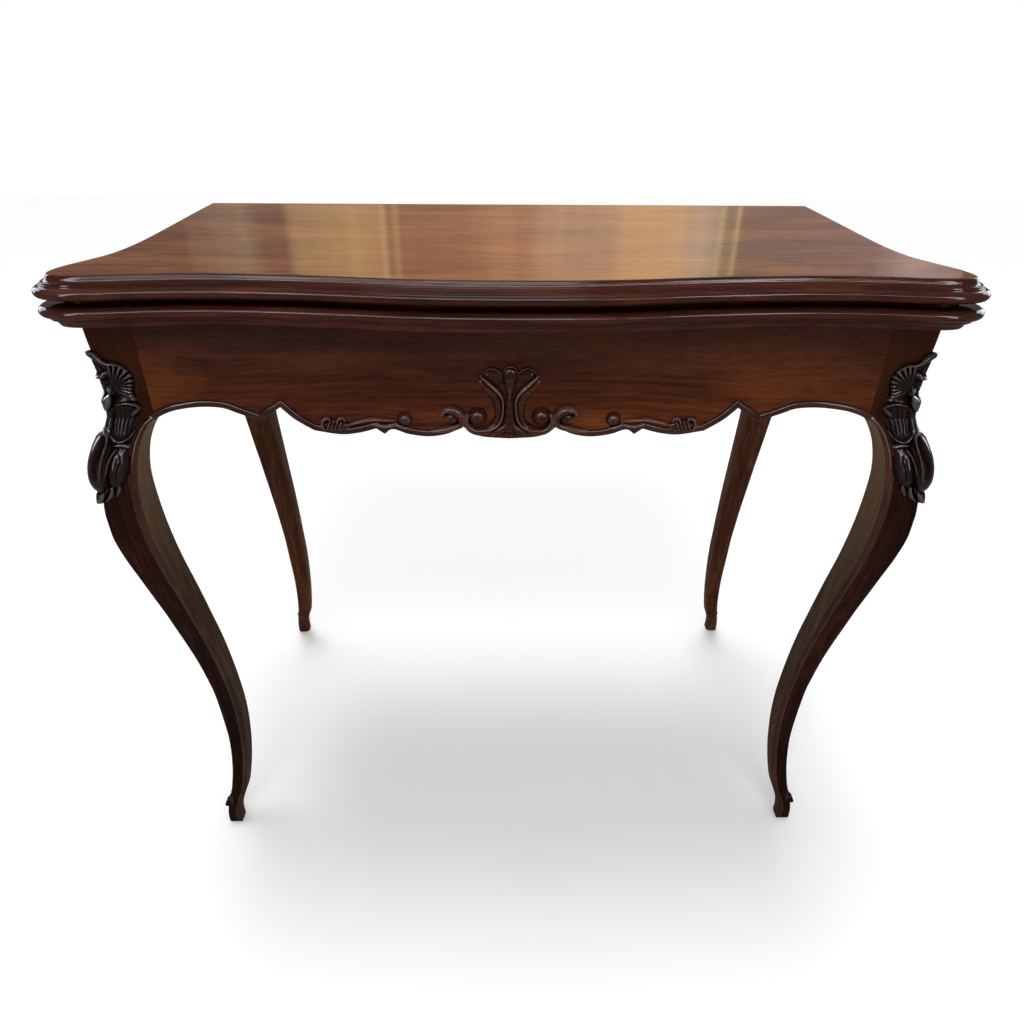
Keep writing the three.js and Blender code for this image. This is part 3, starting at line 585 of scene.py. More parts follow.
def in_metres(name: str, bm: bmesh.types.BMesh) -> bpy.types.Mesh:
    """Turns a drawn mesh's faces outwards and lays it in the row's frame.

    Args:
        name: name of the new mesh.
        bm: the drawing, in millimetres in the maker's frame; it is freed.

    Returns:
        The mesh, in metres.
    """
    bmesh.ops.recalc_face_normals(bm, faces=bm.faces)
    bmesh.ops.translate(bm, verts=bm.verts, vec=(0.0, -FRONT_TO_ORIGIN, 0.0))
    bmesh.ops.scale(bm, verts=bm.verts, vec=(MILLIMETRE,) * 3)
    mesh = bpy.data.meshes.new(name)
    bm.to_mesh(mesh)
    bm.free()
    return mesh


def add_object(name: str, data: bpy.types.ID) -> bpy.types.Object:
    """Adds an object with its data to the scene."""
    made = bpy.data.objects.new(name, data)
    bpy.context.scene.collection.objects.link(made)
    return made


def piece(name: str, bm: bmesh.types.BMesh, body: str, finishes: Sequence,
          stands_for: Sequence[str] = (), crease: float = 32.0) -> bpy.types.Object:
    """Lays a finished mesh into the frame.

    Args:
        name: the piece's name.
        bm: its mesh, in millimetres in the maker's frame; it is freed.
        body: CAD body that it rides on.
        finishes: its materials.
        stands_for: CAD nodes that it replaces.
        crease: angle in degrees above which an edge stays sharp.

    Returns:
        The object.
    """
    for face in bm.faces:
        face.smooth = True
    mesh = in_metres(name, bm)
    mesh.set_sharp_from_angle(angle=math.radians(crease))
    for finish in finishes:
        mesh.materials.append(finish)
    made = add_object(name, mesh)
    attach(made, body)
    if stands_for:
        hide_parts(*stands_for)
    log.info("%s: %d faces on %s", name, len(mesh.polygons), body)
    return made


# ---- The top ----
@dataclass
class Leaf:
    """One serpentine leaf: moulded edge, flat face, and a recess for the cloth on its meeting face."""

    rise: int
    finishes: Finishes
    half_width: float = 402.0
    depth: float = 415.0
    bulge: float = TOP_BULGE
    gap: float = 0.3
    thickness: float = 22.4
    steps: int = 7
    border: float = 42.0
    fold_border: float = 16.0
    recess: float = 1.3
    cloth: float = 0.9
    glue: float = 0.2
    cloth_gap: float = 0.5
    lip: float = 2.0
    show_from: float = 22.3
    side_across: float = 0.94
    side_back: float = 0.04
    seat_half: float = 24.3
    seat_depth: float = 2.2
    seat_height: float = 15.3
    seat_overrun: float = 10.0
    knuckle_room: float = 3.4
    knuckle_steps: int = 24
    front = (
        (0, -1), (0.13, -0.93), (0.25, -0.68), (0.4, -0.18), (0.55, 0.2), (0.68, 0.33), (0.8, 0.16),
        (0.89, -0.16), (0.945, -0.26), (0.975, -0.21), (0.995, 0),
    )
    side = (
        (1.004, 0.014), (1.0065, 0.034), (1.002, 0.068), (0.989, 0.106), (0.974, 0.145), (0.9595, 0.19),
        (0.9515, 0.242), (0.949, 0.32), (0.9535, 0.424), (0.963, 0.554), (0.9745, 0.706), (0.985, 0.843),
        (0.995, 1),
    )
    lining_corner = 0.82

    @property
    def word(self) -> str:
        """Whether it is the upper or the lower leaf."""
        return "upper" if self.rise > 0 else "lower"

    @property
    def body(self) -> str:
        """Body that it rides on."""
        return "flap" if self.rise > 0 else "turning_top"

    @property
    def meeting(self) -> float:
        """Height of the face on which the leaves meet."""
        return FOLD_HEIGHT + self.rise * self.gap / 2

    def moulding(self) -> np.ndarray:
        """Section of the edge, as reach and height above the meeting face."""
        return np.vstack([
            [(-3.9, 0.0), (-3.9, 2.9), (-3.3, 3.05), (10.2, 3.1)],
            arc((11.3, 8.07), (5.66, 4.9), -88, 86, 18),
            [(11.0, 13.4), (10.85, 13.8), (10.8, 14.2), (10.5, 14.5), (9.95, 14.6), (9.65, 14.85), (9.55, 15.3),
             (9.4, 15.8), (9.1, 16.05), (8.5, 16.15)],
            arc((8.6, 19.8), (4.1, 3.6), 262, 192, 8),
            [(4.4, 19.5), (4.25, 19.9), (3.3, 21.55), (3.0, 21.95), (2.6, 22.25), (2.0, 22.4)],
        ])

    def outline(self) -> tuple[np.ndarray, np.ndarray]:
        """Flat's outline from the left end of the fold to the right one, and which way its edge faces."""
        front = [(a * self.half_width, b * self.bulge) for a, b in self.front]
        side = [(a * self.half_width, b * self.depth) for a, b in self.side]
        half = smooth_run(front + side, self.steps)
        loop = np.vstack([half[:0:-1] * (-1, 1), half])
        ahead = np.vstack([loop[1:], loop[-1:]])
        back = np.vstack([loop[:1], loop[:-1]])
        out = np.stack([ahead[:, 1] - back[:, 1], back[:, 0] - ahead[:, 0]], axis=1)
        out /= np.linalg.norm(out, axis=1)[:, None]
        out[0], out[-1] = (-1, 0), (1, 0)
        return loop, out

    def ring(self, reach: float, height: float) -> np.ndarray:
        """Outline at one point of the moulding.

        Args:
            reach: how far it stands out.
            height: its height.

        Returns:
            The ring's points.
        """
        loop, out = self.outline()
        x, y = (loop + out * reach).T
        limit = 1.0065 * self.half_width + CREST
        return np.stack([np.clip(x, -limit, limit), np.minimum(y, self.depth - self.gap / 2),
                         np.full(len(x), height)], axis=1)

    def lining(self, border: float, fold: float, height: float) -> np.ndarray:
        """Outline of the recess or the cloth, with as many points as the leaf's own outline.

        Args:
            border: distance from the outline.
            fold: distance from the fold.
            height: its height.

        Returns:
            The ring's points.
        """
        front = [(a * self.half_width, b * self.bulge + border) for a,
                 b in self.front if a < self.lining_corner]
        side = [(a * self.half_width - border, min(b * self.depth, self.depth - fold))
                for a, b in self.side if b > 1 - self.lining_corner]
        outer = self.outline()[0]
        outer, turning = outer[len(outer) // 2:], len(self.front) * self.steps
        corner = [(side[0][0], border)]
        along = spread(np.vstack([smooth_run(front, 5), corner]), shares_along(outer[:turning + 1]))
        upward = spread(np.vstack([corner, smooth_run(side, 5)]), shares_along(outer[turning:]))
        half = np.vstack([along, upward[1:]])
        loop = np.vstack([half[:0:-1] * (-1, 1), half])
        return np.column_stack([loop, np.full(len(loop), height)])

    def build(self) -> None:
        """Builds the leaf and lays its cloth."""
        bm = bmesh.new()
        rows = [self.lining(self.border, self.fold_border, self.meeting + self.rise * sunk)
                for sunk in (self.recess, 0.0)]
        rows += [self.ring(reach, self.meeting + self.rise * up) for reach, up in self.moulding()]
        rows.append(self.ring(-self.lip, self.meeting + self.rise * self.thickness))
        close_ends(bm, surface(bm, np.array(rows)))
        for face in bm.faces:
            middle = face.calc_center_median()
            up = self.rise * (middle.z - self.meeting)
            at_side = (abs(middle.x) > self.side_across * self.half_width
                       and middle.y > self.side_back * self.depth)
            show = 2 if self.rise > 0 and up > self.show_from else 0
            face.material_index = show or int(at_side)
        looks = [self.finishes.edge, self.finishes.edge_deep, self.finishes.top]
        made = piece(f"{self.word}_leaf_moulded", bm, self.body, looks, [f"{self.word}_leaf"])
        self.cut_hinge_seats(made)
        self.lay_cloth()

    def cut_hinge_seats(self, leaf: bpy.types.Object) -> None:
        """Lets the hinges into the fold edge.

        Args:
            leaf: the finished leaf, whose mesh is replaced.
        """
        bm = bmesh.new()
        for side in (-1, 1):
            x = side * HINGE_PLACE
            half, room = self.seat_half, self.knuckle_room
            low, high = sorted((-self.rise * self.seat_overrun, self.rise * self.seat_height))
            block(bm, (x - half, self.depth - self.seat_depth, FOLD_HEIGHT + low),
                  (x + half, self.depth + self.seat_overrun, FOLD_HEIGHT + high))
            new = turn(bm, [(0, -half), (room, -half), (room, half), (0, half)], self.knuckle_steps, "X")
            bmesh.ops.translate(bm, verts=new, vec=(x, self.depth, FOLD_HEIGHT))
        mesh = in_metres("hinge_seat_cutter", bm)
        cutter = add_object("hinge_seat_cutter", mesh)
        change = leaf.modifiers.new("seats", "BOOLEAN")
        change.operation, change.solver, change.use_self = "DIFFERENCE", "EXACT", True
        change.object = cutter
        graph = bpy.context.evaluated_depsgraph_get()
        cut = bpy.data.meshes.new_from_object(leaf.evaluated_get(graph))
        leaf.modifiers.clear()
        name = leaf.data.name
        leaf.data, old = cut, leaf.data
        bpy.data.meshes.remove(old)
        cut.name = name
        bpy.data.objects.remove(cutter)
        bpy.data.meshes.remove(mesh)

    def lay_cloth(self) -> None:
        """Lays the cloth in its recess."""
        bm = bmesh.new()
        border, fold = self.border + self.cloth_gap, self.fold_border + self.cloth_gap
        back = self.meeting + self.rise * (self.recess - self.glue)
        face = back - self.rise * self.cloth
        verts = surface(bm, np.array([self.lining(border, fold, z) for z in (back, face)]))
        close_ends(bm, verts)
        cloth = piece(f"{self.word}_cloth", bm, self.body, [self.finishes.baize],
                      [f"{self.word}_baize"])


# ---- The legs ----
@dataclass
class CabrioleLeg:
    """Square cabriole leg with a bead on a front leg's inner edge and a small scroll at its toe."""

    side: Side
    end: End
    finishes: Finishes
    steps: int = 4
    corner: float = 2.0
    foot_corner: float = 6.0
    foot_height: float = 60.0
    foot_curve: float = 0.7
    foot_easing: float = 1.5
    most_rounding: float = 0.46
    bead_width: float = 7.0
    bead_rise: float = 2.3
    bead_top: float = 0.87
    toe_height: float = 38.0
    toe_radius: float = 6.5
    notch_place: float = 1.35
    notch_height: float = 0.3
    notch_reach: float = 5.0
    notch_depth: float = 1.5
    sweep: float = 15.0
    sweep_top: float = 0.6
    sweep_curve: float = 1.6
    shares = (
        (0, .02, .4), (.022, .005, .395), (.04, -.035, .425), (.055, -.09, .5), (.068, -.145, .58),
        (.084, -.215, .665), (.123, -.318, .78), (.165, -.388, .87), (.206, -.424, .927),
        (.245, -.424, .96), (.287, -.41, .97), (.328, -.385, .952), (.367, -.33, .923),
        (.409, -.257, .881), (.45, -.165, .826), (.489, -.068, .76), (.531, .037, .69),
        (.572, .152, .615), (.611, .26, .54), (.653, .375, .477), (.695, .45, .432), (.738, .44, .41),
        (.78, .34, .42), (.816, .2, .51), (.84, .09, .64), (.858, 0, .81), (.8695, -.06, 1),
        (.8715, -.065, 1), (.9, -.1, 1), (.93, -.095, 1), (.965, -.04, 1), (1, -.015, 1),
    )

    @classmethod
    def profile(cls, steps: int) -> np.ndarray:
        """Height, outward and inward shares up the leg, smoothed but never beyond the widest row."""
        rows = smooth_run(cls.shares, steps)
        rows[:, 1] = np.minimum(rows[:, 1], max(out for _, out, _ in cls.shares))
        rows[:, 2] = np.minimum(rows[:, 2], 1.0)
        return rows

    @classmethod
    def reach(cls, height: np.ndarray) -> np.ndarray:
        """How far the outer corner stands out at a height, in millimetres."""
        rows = cls.profile(6)
        return np.interp(np.asarray(height) / FRAME_TOP, rows[:, 0], rows[:, 1]) * POST

    def section(self, out: float, into: float, height: float) -> list:
        """Ring of points of one section, as outward distances along x and y.

        Args:
            out: outward place of the outer faces.
            into: inward place of the inner faces.
            height: height of the section.

        Returns:
            The points, from the outer corner round over the front face.
        """
        low = float(np.clip(1 - height / self.foot_height, 0, 1)) ** self.foot_curve
        most = self.most_rounding * (out + into)
        r = min(self.corner + self.foot_easing * low, most)
        inner = min(self.corner + (self.foot_corner - self.corner) * low, most)
        turns = [((out, out), 0, r), ((-into, out), 90, r), ((-into, -into), 180, inner),
                 ((out, -into), 270, r)]
        ring = []
        for (p, q), start, radius in turns:
            if start == 90 and self.end is End.FRONT:
                ring += self.bead(out, into, height)
                continue
            centre = (p - radius if p == out else p + radius, q - radius if q == out else q + radius)
            ring += [tuple(point) for point in arc(centre, (radius, radius), start, start + 90, 5)]
        return ring

    def bead(self, out: float, into: float, height: float) -> list:
        """Points of the bead on the inner edge of the front face.

        Args:
            out: outward place of the front face.
            into: inward place of the inner face.
            height: height of the section.

        Returns:
            The points, towards the inner face.
        """
        share = height / FRAME_TOP
        full = float(np.clip((self.bead_top - share) / 0.008, 0, 1)) * float(np.clip(height / 30, 0, 1))
        width, rise = self.bead_width, self.bead_rise * full
        points = [(width + 1.6, 0.0), (width + 0.9, -0.25 * full), (width + 0.35, -1.2 * full)]
        points += [(width / 2 + width / 2 * math.cos(a), rise * math.sin(a) - 0.4 * full)
                   for a in np.radians(np.linspace(14, 166, 11))]
        points += [(0.0, -1.6), (0.0, -2.6)]
        return [(-into + across, out + proud) for across, proud in points]

    def toe(self, ring: np.ndarray, out: float, height: float) -> np.ndarray:
        """Swells the outer corner into the toe's scroll.

        Args:
            ring: one section.
            out: outward place of the outer corner.
            height: height of the section.

        Returns:
            The section with its swelling.
        """
        up = (height - self.toe_height) / self.toe_radius
        ball = self.toe_radius * math.sqrt(max(0.0, 1 - up * up))
        from_corner = ring - (out - 1.0)
        far = np.linalg.norm(from_corner, axis=1)
        toward = from_corner / np.maximum(far, 1e-6)[:, None]
        corner = math.exp(-((up - self.notch_place) / self.notch_height) ** 2) * np.exp(-far / self.notch_reach)
        grown = np.where((far < ball)[:, None], (out - 1.0) + toward * ball, ring)
        outside = (from_corner.sum(axis=1) > -1.0)[:, None]
        return np.where(outside, grown, ring) - corner[:, None] * self.notch_depth

    def line(self, height: float) -> float:
        """Where the post's outer line runs at a height; the rear legs sweep back towards the floor."""
        if self.end is End.FRONT:
            return FRAME_FRONT
        low = max(1 - height / FRAME_TOP / self.sweep_top, 0.0)
        return FRAME_BACK + self.sweep * low ** self.sweep_curve

    def build(self) -> bpy.types.Object:
        """Builds the leg."""
        bm = bmesh.new()
        rows = self.profile(self.steps)
        extra = np.array([(h / FRAME_TOP, *[np.interp(h / FRAME_TOP, rows[:, 0], rows[:, k]) for k in (1, 2)])
                          for h in np.arange(26, 54, 0.8)])
        rows = np.vstack([rows, extra])
        rows = rows[np.argsort(rows[:, 0])]
        rows = rows[np.concatenate([[True], np.diff(rows[:, 0]) > 2e-4])]
        foot = [(0.0, 2.6), (0.5, 1.5), (1.5, 0.55), (3.0, 0.1)]
        stations = [(h, rows[0, 1] * POST - ease_in, rows[0, 2] * POST - ease_in) for h, ease_in in foot]
        stations += [(up * FRAME_TOP, out * POST, into * POST) for up, out, into in rows if up * FRAME_TOP > 4]
        x0 = self.side.value * HALF_FRAME
        loops = []
        for height, out, into in stations:
            ring = self.toe(np.array(self.section(out, into, height)), out, height)
            loops.append(np.column_stack([
                x0 + self.side.value * ring[:, 0], self.line(height) + self.end.value * ring[:, 1],
                np.full(len(ring), height),
            ]))
        close_ends(bm, surface(bm, np.array(loops)))
        place = f"{self.end.name.lower()}_{self.side.name.lower()}"
        # the rear legs take the rosewood with painted light
        woods = [self.finishes.rear]
        if self.end is End.FRONT:
            self.share_out(bm, x0, rows)
            woods = [self.finishes.upright, self.finishes.bead_upright, self.finishes.leg_inside]
        return piece(f"cabriole_{place}", bm, "frame", woods, [f"leg_{place}"])

    def share_out(self, bm: bmesh.types.BMesh, middle: float, rows: np.ndarray) -> None:
        """Gives the bead and the inner faces finishes of their own.

        Args:
            bm: the leg.
            middle: x of the post's line.
            rows: the leg's profile.
        """
        bmesh.ops.recalc_face_normals(bm, faces=bm.faces)
        for face in bm.faces:
            centre = face.calc_center_median()
            share = centre.z / FRAME_TOP
            out, into = (np.interp(share, rows[:, 0], rows[:, k]) * POST for k in (1, 2))
            across = self.side.value * (centre.x - middle) + into
            proud = self.end.value * (centre.y - self.line(centre.z)) - out
            if share < self.bead_top and -0.3 < across < self.bead_width + 0.2 and proud > -1.1:
                face.material_index = 1
            # the inner faces take the leg_inside finish with its painted sheen
            elif min(self.side.value * face.normal.x, self.end.value * face.normal.y) < -0.6:
                face.material_index = 2


# ---- The aprons ----
@dataclass
class Apron:
    """Shaped apron board, drawn along x with its show face at y = 0, with a bead on its lower edge."""

    name: str
    stands_for: str
    half_length: float
    drop: float
    runs: tuple
    beaded: int
    turned: float
    place: tuple[float, float]
    finish: bpy.types.Material
    bead_finish: bpy.types.Material
    thickness: float = 20.0
    bead_width: float = 6.0
    bead_rise: float = 2.3
    steps: int = 8
    shift: float = 0.0

    def on_board(self, rows: Sequence) -> np.ndarray:
        """Turns shares into x and z on the board's face."""
        return np.array([(a * self.half_length, FRAME_TOP - b * self.drop) for a, b in rows])

    def moved(self, points: np.ndarray) -> np.ndarray:
        """Shifts the pattern along the board, but not its ends."""
        hold = 1 - np.abs(points[:, 0] / self.half_length) ** 6
        return points + np.stack([self.shift * hold, 0 * hold], axis=1)

    def edges(self) -> list[np.ndarray]:
        """Smooth runs of the lower edge, from the left post to the right one."""
        right = [smooth_run(self.on_board(run), self.steps) for run in self.runs]
        left = [run * (-1, 1) for run in right]
        return [self.moved(run) for run in left + [run[::-1] for run in right[::-1]]]

    def bead_loops(self, runs: list[np.ndarray]) -> list[np.ndarray]:
        """Bead sections along connected runs, mitred where they meet.

        Args:
            runs: runs of the lower edge that follow one another.

        Returns:
            One array of stations for each run.
        """
        half = self.bead_width / 2
        section = [(half + half * math.cos(a), -0.2 - self.bead_rise * math.sin(a))
                   for a in np.radians(np.linspace(6, 174, 11))]
        section += [(0.0, 1.2), (self.bead_width, 1.2)]
        normals = []
        for run in runs:
            step = np.gradient(run, axis=0)
            step /= np.linalg.norm(step, axis=1)[:, None]
            upward = np.stack([-step[:, 1], step[:, 0]], axis=1)
            normals.append(upward * np.sign(upward[:, 1:2] + 1e-9))
        loops = []
        for i, (run, normal) in enumerate(zip(runs, normals)):
            cuts = []
            for j, at in ((i - 1, 0), (i + 1, -1)):
                if 0 <= j < len(runs):
                    bisector = normal[at] + normals[j][-1 if at == 0 else 0]
                else:
                    bisector = normal[at]
                along = np.array([bisector[1], -bisector[0]])
                inward = run[len(run) // 2] - run[at]
                cuts.append((run[at], along * np.sign(along @ inward)))
            lines = []
            for across, proud in section:
                line = run + normal * across
                lead = [line[0] - (line[1] - line[0]) * 40, *line, line[-1] + (line[-1] - line[-2]) * 40]
                line = even_run(np.array(lead), 900)
                for origin, inward in cuts:
                    line = line[(line - origin) @ inward >= 0]
                count = max(8, int(np.linalg.norm(np.diff(run, axis=0), axis=1).sum() / 2.0))
                line = even_run(line, count)
                lines.append(np.column_stack([line[:, 0], np.full(count, proud), line[:, 1]]))
            loops.append(np.array(lines).transpose(1, 0, 2))
        return loops

    def build(self) -> bpy.types.Object:
        """Builds the apron."""
        bm = bmesh.new()
        edges = self.edges()
        lower = np.vstack([edges[0], *[run[1:] for run in edges[1:]]])
        outline = np.vstack([lower, [(self.half_length, FRAME_TOP), (-self.half_length, FRAME_TOP)]])
        plank(bm, outline, self.thickness)
        ease(bm, [e for e in bm.edges if e.verts[0].co.z < FRAME_TOP - 1 and e.verts[1].co.z < FRAME_TOP - 1
                  and abs(e.verts[0].co.y - e.verts[1].co.y) < 0.01], 0.5)
        if self.beaded:
            groups = [edges[:self.beaded], edges[-self.beaded:]]
            if self.beaded == len(self.runs):
                groups = [edges]
            board = set(bm.faces)
            for group in groups:
                for loops in self.bead_loops(group):
                    close_ends(bm, surface(bm, loops))
            for face in set(bm.faces) - board:
                face.material_index = 1
        bmesh.ops.rotate(bm, verts=bm.verts, cent=(0, 0, 0), matrix=Matrix.Rotation(self.turned, 3, "Z"))
        bmesh.ops.translate(bm, verts=bm.verts, vec=(*self.place, 0.0))
        return piece(self.name, bm, "frame", [self.finish, self.bead_finish], [self.stands_for])


FRONT_EDGE = (
    ((1, .82), (.971, .775), (.93, .735), (.864, .708), (.8, .715), (.76, .76), (.696, .837)),
    ((.696, .837), (.67, .775), (.636, .71)),
    ((.636, .71), (.6, .82), (.551, .92)),
    ((.551, .92), (.478, .958), (.423, .942), (.376, .903)),
    ((.376, .903), (.353, .955)),
    ((.353, .955), (.329, .91), (.285, .955), (.229, .977), (.175, .951), (.132, .885)),
    ((.132, .885), (.109, .947), (.072, .985), (0, 1)),
)
SIDE_EDGE = (
    ((1, .865), (.93, .8), (.8, .752), (.68, .758), (.6, .8), (.5, .885)),
    ((.5, .885), (.45, .82), (.4, .752)),
    ((.4, .752), (.3, .9), (.16, .98), (0, 1)),
)


# ---- Carving ----
class Relief:
    """Height field that strokes and domes build up, as a carver leaves a ground."""

    bare = -3.0

    def __init__(self, low: tuple[float, float], high: tuple[float, float], cell: float,
                 middle: float | None = None) -> None:
        """Opens a flat field.

        Args:
            low: lowest corner on the face.
            high: highest corner on the face.
            cell: size of one cell.
            middle: x of the line across which the forms are repeated.
        """
        self.cell, self.middle = cell, middle
        count = np.ceil((np.array(high) - low) / cell).astype(int) + 1
        self.across = low[0] + cell * np.arange(count[0])
        self.up = low[1] + cell * np.arange(count[1])
        self.height = np.full((count[1], count[0]), self.bare)

    def around(self, centre: Sequence[float], reach: float) -> tuple[tuple[slice, slice], np.ndarray]:
        """Part of the field round a point.

        Args:
            centre: the point.
            reach: half size of the part.

        Returns:
            Slices of the rows and columns, and each cell's distance from the point.
        """
        j = np.searchsorted(self.across, [centre[0] - reach, centre[0] + reach])
        i = np.searchsorted(self.up, [centre[1] - reach, centre[1] + reach])
        gx, gz = np.meshgrid(self.across[slice(*j)], self.up[slice(*i)])
        return (slice(*i), slice(*j)), np.hypot(gx - centre[0], gz - centre[1])

    def lines(self, points: Sequence, alone: bool) -> list[np.ndarray]:
        """Smooth line through points, with its mirror image unless it is to stand alone.

        Args:
            points: the line's points.
            alone: whether it isn't repeated across the field's middle.

        Returns:
            One line or two.
        """
        line = even_run(smooth_run(points, 12), max(24, 10 * len(points)))
        if alone or self.middle is None:
            return [line]
        return [line, np.column_stack([2 * self.middle - line[:, 0], line[:, 1]])]

    @staticmethod
    def shape(q: np.ndarray) -> np.ndarray:
        """Height of a round section at shares of its half width, going on below the ground outside."""
        q = q * 1.1
        return np.where(q < 0.85, np.sqrt(np.clip(1 - q * q, 0, 1)), 0.527 - (q - 0.85) * 1.61)

    def lay(self, height: np.ndarray, melt: float = 0.7) -> None:
        """Keeps the higher of the field and a new form, with a small fillet where they meet.

        Args:
            height: the form's heights.
            melt: size of the fillet.
        """
        near = np.maximum(melt - np.abs(self.height - height), 0)
        both = np.minimum(self.height, height) > -1
        self.height = np.maximum(self.height, height) + np.where(both, near * near / (4 * melt), 0)

    def stroke(self, points: Sequence, radii: Sequence[float], heights: Sequence[float],
               alone: bool = False) -> None:
        """Lays a tapered roll along a smooth line.

        Args:
            points: the line.
            radii: half widths, spread evenly along it.
            heights: heights, spread evenly along it.
            alone: whether it isn't repeated across the field's middle.
        """
        for line in self.lines(points, alone):
            share = np.linspace(0, 1, len(line))
            radius, top = (np.interp(share, np.linspace(0, 1, len(row)), row) for row in (radii, heights))
            form = np.full_like(self.height, self.bare)
            for place, r, h in zip(line, radius, top):
                window, far = self.around(place, r * 1.6 + self.cell)
                form[window] = np.maximum(form[window], h * self.shape(far / r))
            self.lay(form)

    def groove(self, points: Sequence, width: float, depth: float, alone: bool = False) -> None:
        """Cuts a vein along a smooth line.

        Args:
            points: the line.
            width: width of the cut.
            depth: its depth.
            alone: whether it isn't repeated across the field's middle.
        """
        for line in self.lines(points, alone):
            cutting = np.zeros_like(self.height)
            for i, place in enumerate(line):
                taper = math.sin(math.pi * (i + 1.5) / (len(line) + 2)) ** 0.4
                window, far = self.around(place, width * 2.5)
                cut = depth * taper * np.exp(-((far / (width / 2)) ** 2))
                cutting[window] = np.maximum(cutting[window], cut)
            self.height -= np.where(self.height > -1, cutting, 0)

    def dome(self, centre: Sequence[float], half: tuple[float, float], height: float, turned: float = 0.0,
             alone: bool = False) -> None:
        """Lays an oval boss.

        Args:
            centre: its middle.
            half: its half width and half height.
            height: its height.
            turned: its turn in degrees.
            alone: whether it isn't repeated across the field's middle.
        """
        for flip in ([1] if alone or self.middle is None else [1, -1]):
            x = centre[0] if flip == 1 else 2 * self.middle - centre[0]
            a = math.radians(turned) * flip
            gx, gz = np.meshgrid(self.across - x, self.up - centre[1])
            u, v = gx * math.cos(a) + gz * math.sin(a), gz * math.cos(a) - gx * math.sin(a)
            self.lay(np.maximum(height * self.shape(np.hypot(u / half[0], v / half[1])), self.bare))

    def mesh(self, bend: Callable[[np.ndarray, np.ndarray, np.ndarray], np.ndarray]) -> bmesh.types.BMesh:
        """Turns the field into a closed mesh.

        Args:
            bend: gives points for arrays of across, up and height.

        Returns:
            The mesh, with a ridge attribute that is 0 in hollows and 1 on crests.
        """
        for _ in range(2):
            near = (np.roll(self.height, 1, 0) + np.roll(self.height, -1, 0)
                    + np.roll(self.height, 1, 1) + np.roll(self.height, -1, 1)) / 4
            self.height = np.where(self.height > 0, 0.6 * self.height + 0.4 * np.maximum(near, 0), self.height)
        soft = self.height.copy()
        for _ in range(10):
            soft = (soft + np.roll(soft, 1, 0) + np.roll(soft, -1, 0)
                    + np.roll(soft, 1, 1) + np.roll(soft, -1, 1)) / 5
        # ridge drives the carved woods' painted shade in hollows and painted highlight on crests
        ridge = np.clip(0.5 + (self.height - soft) / 1.1, 0, 1)
        gx, gz = np.meshgrid(self.across, self.up)
        front = bend(gx, gz, np.maximum(self.height, -1.2))
        back = bend(gx, gz, np.full_like(gx, -1.9))
        bm = bmesh.new()
        layer = bm.verts.layers.float.new("ridge")
        rows, columns = self.height.shape
        verts = bmesh.ops.create_grid(bm, x_segments=columns - 1, y_segments=rows - 1, size=1.0)["verts"]
        places = {}
        for vert in verts:
            i = round((vert.co.y + 1) / 2 * (rows - 1))
            j = round((vert.co.x + 1) / 2 * (columns - 1))
            places[vert] = (i, j)
            vert.co = front[i, j]
            vert[layer] = ridge[i, j]
        sunk = [f for f in bm.faces if all(self.height[places[v]] < -0.7 for v in f.verts)]
        bmesh.ops.delete(bm, geom=sunk, context="FACES")
        behind = {}
        for vert in bm.verts:
            behind[tuple(round(c, 4) for c in vert.co)] = back[places[vert]]
        grown = bmesh.ops.extrude_face_region(bm, geom=list(bm.faces), use_keep_orig=True)["geom"]
        for vert in grown:
            if isinstance(vert, bmesh.types.BMVert):
                vert.co = behind[tuple(round(c, 4) for c in vert.co)]
        return bm


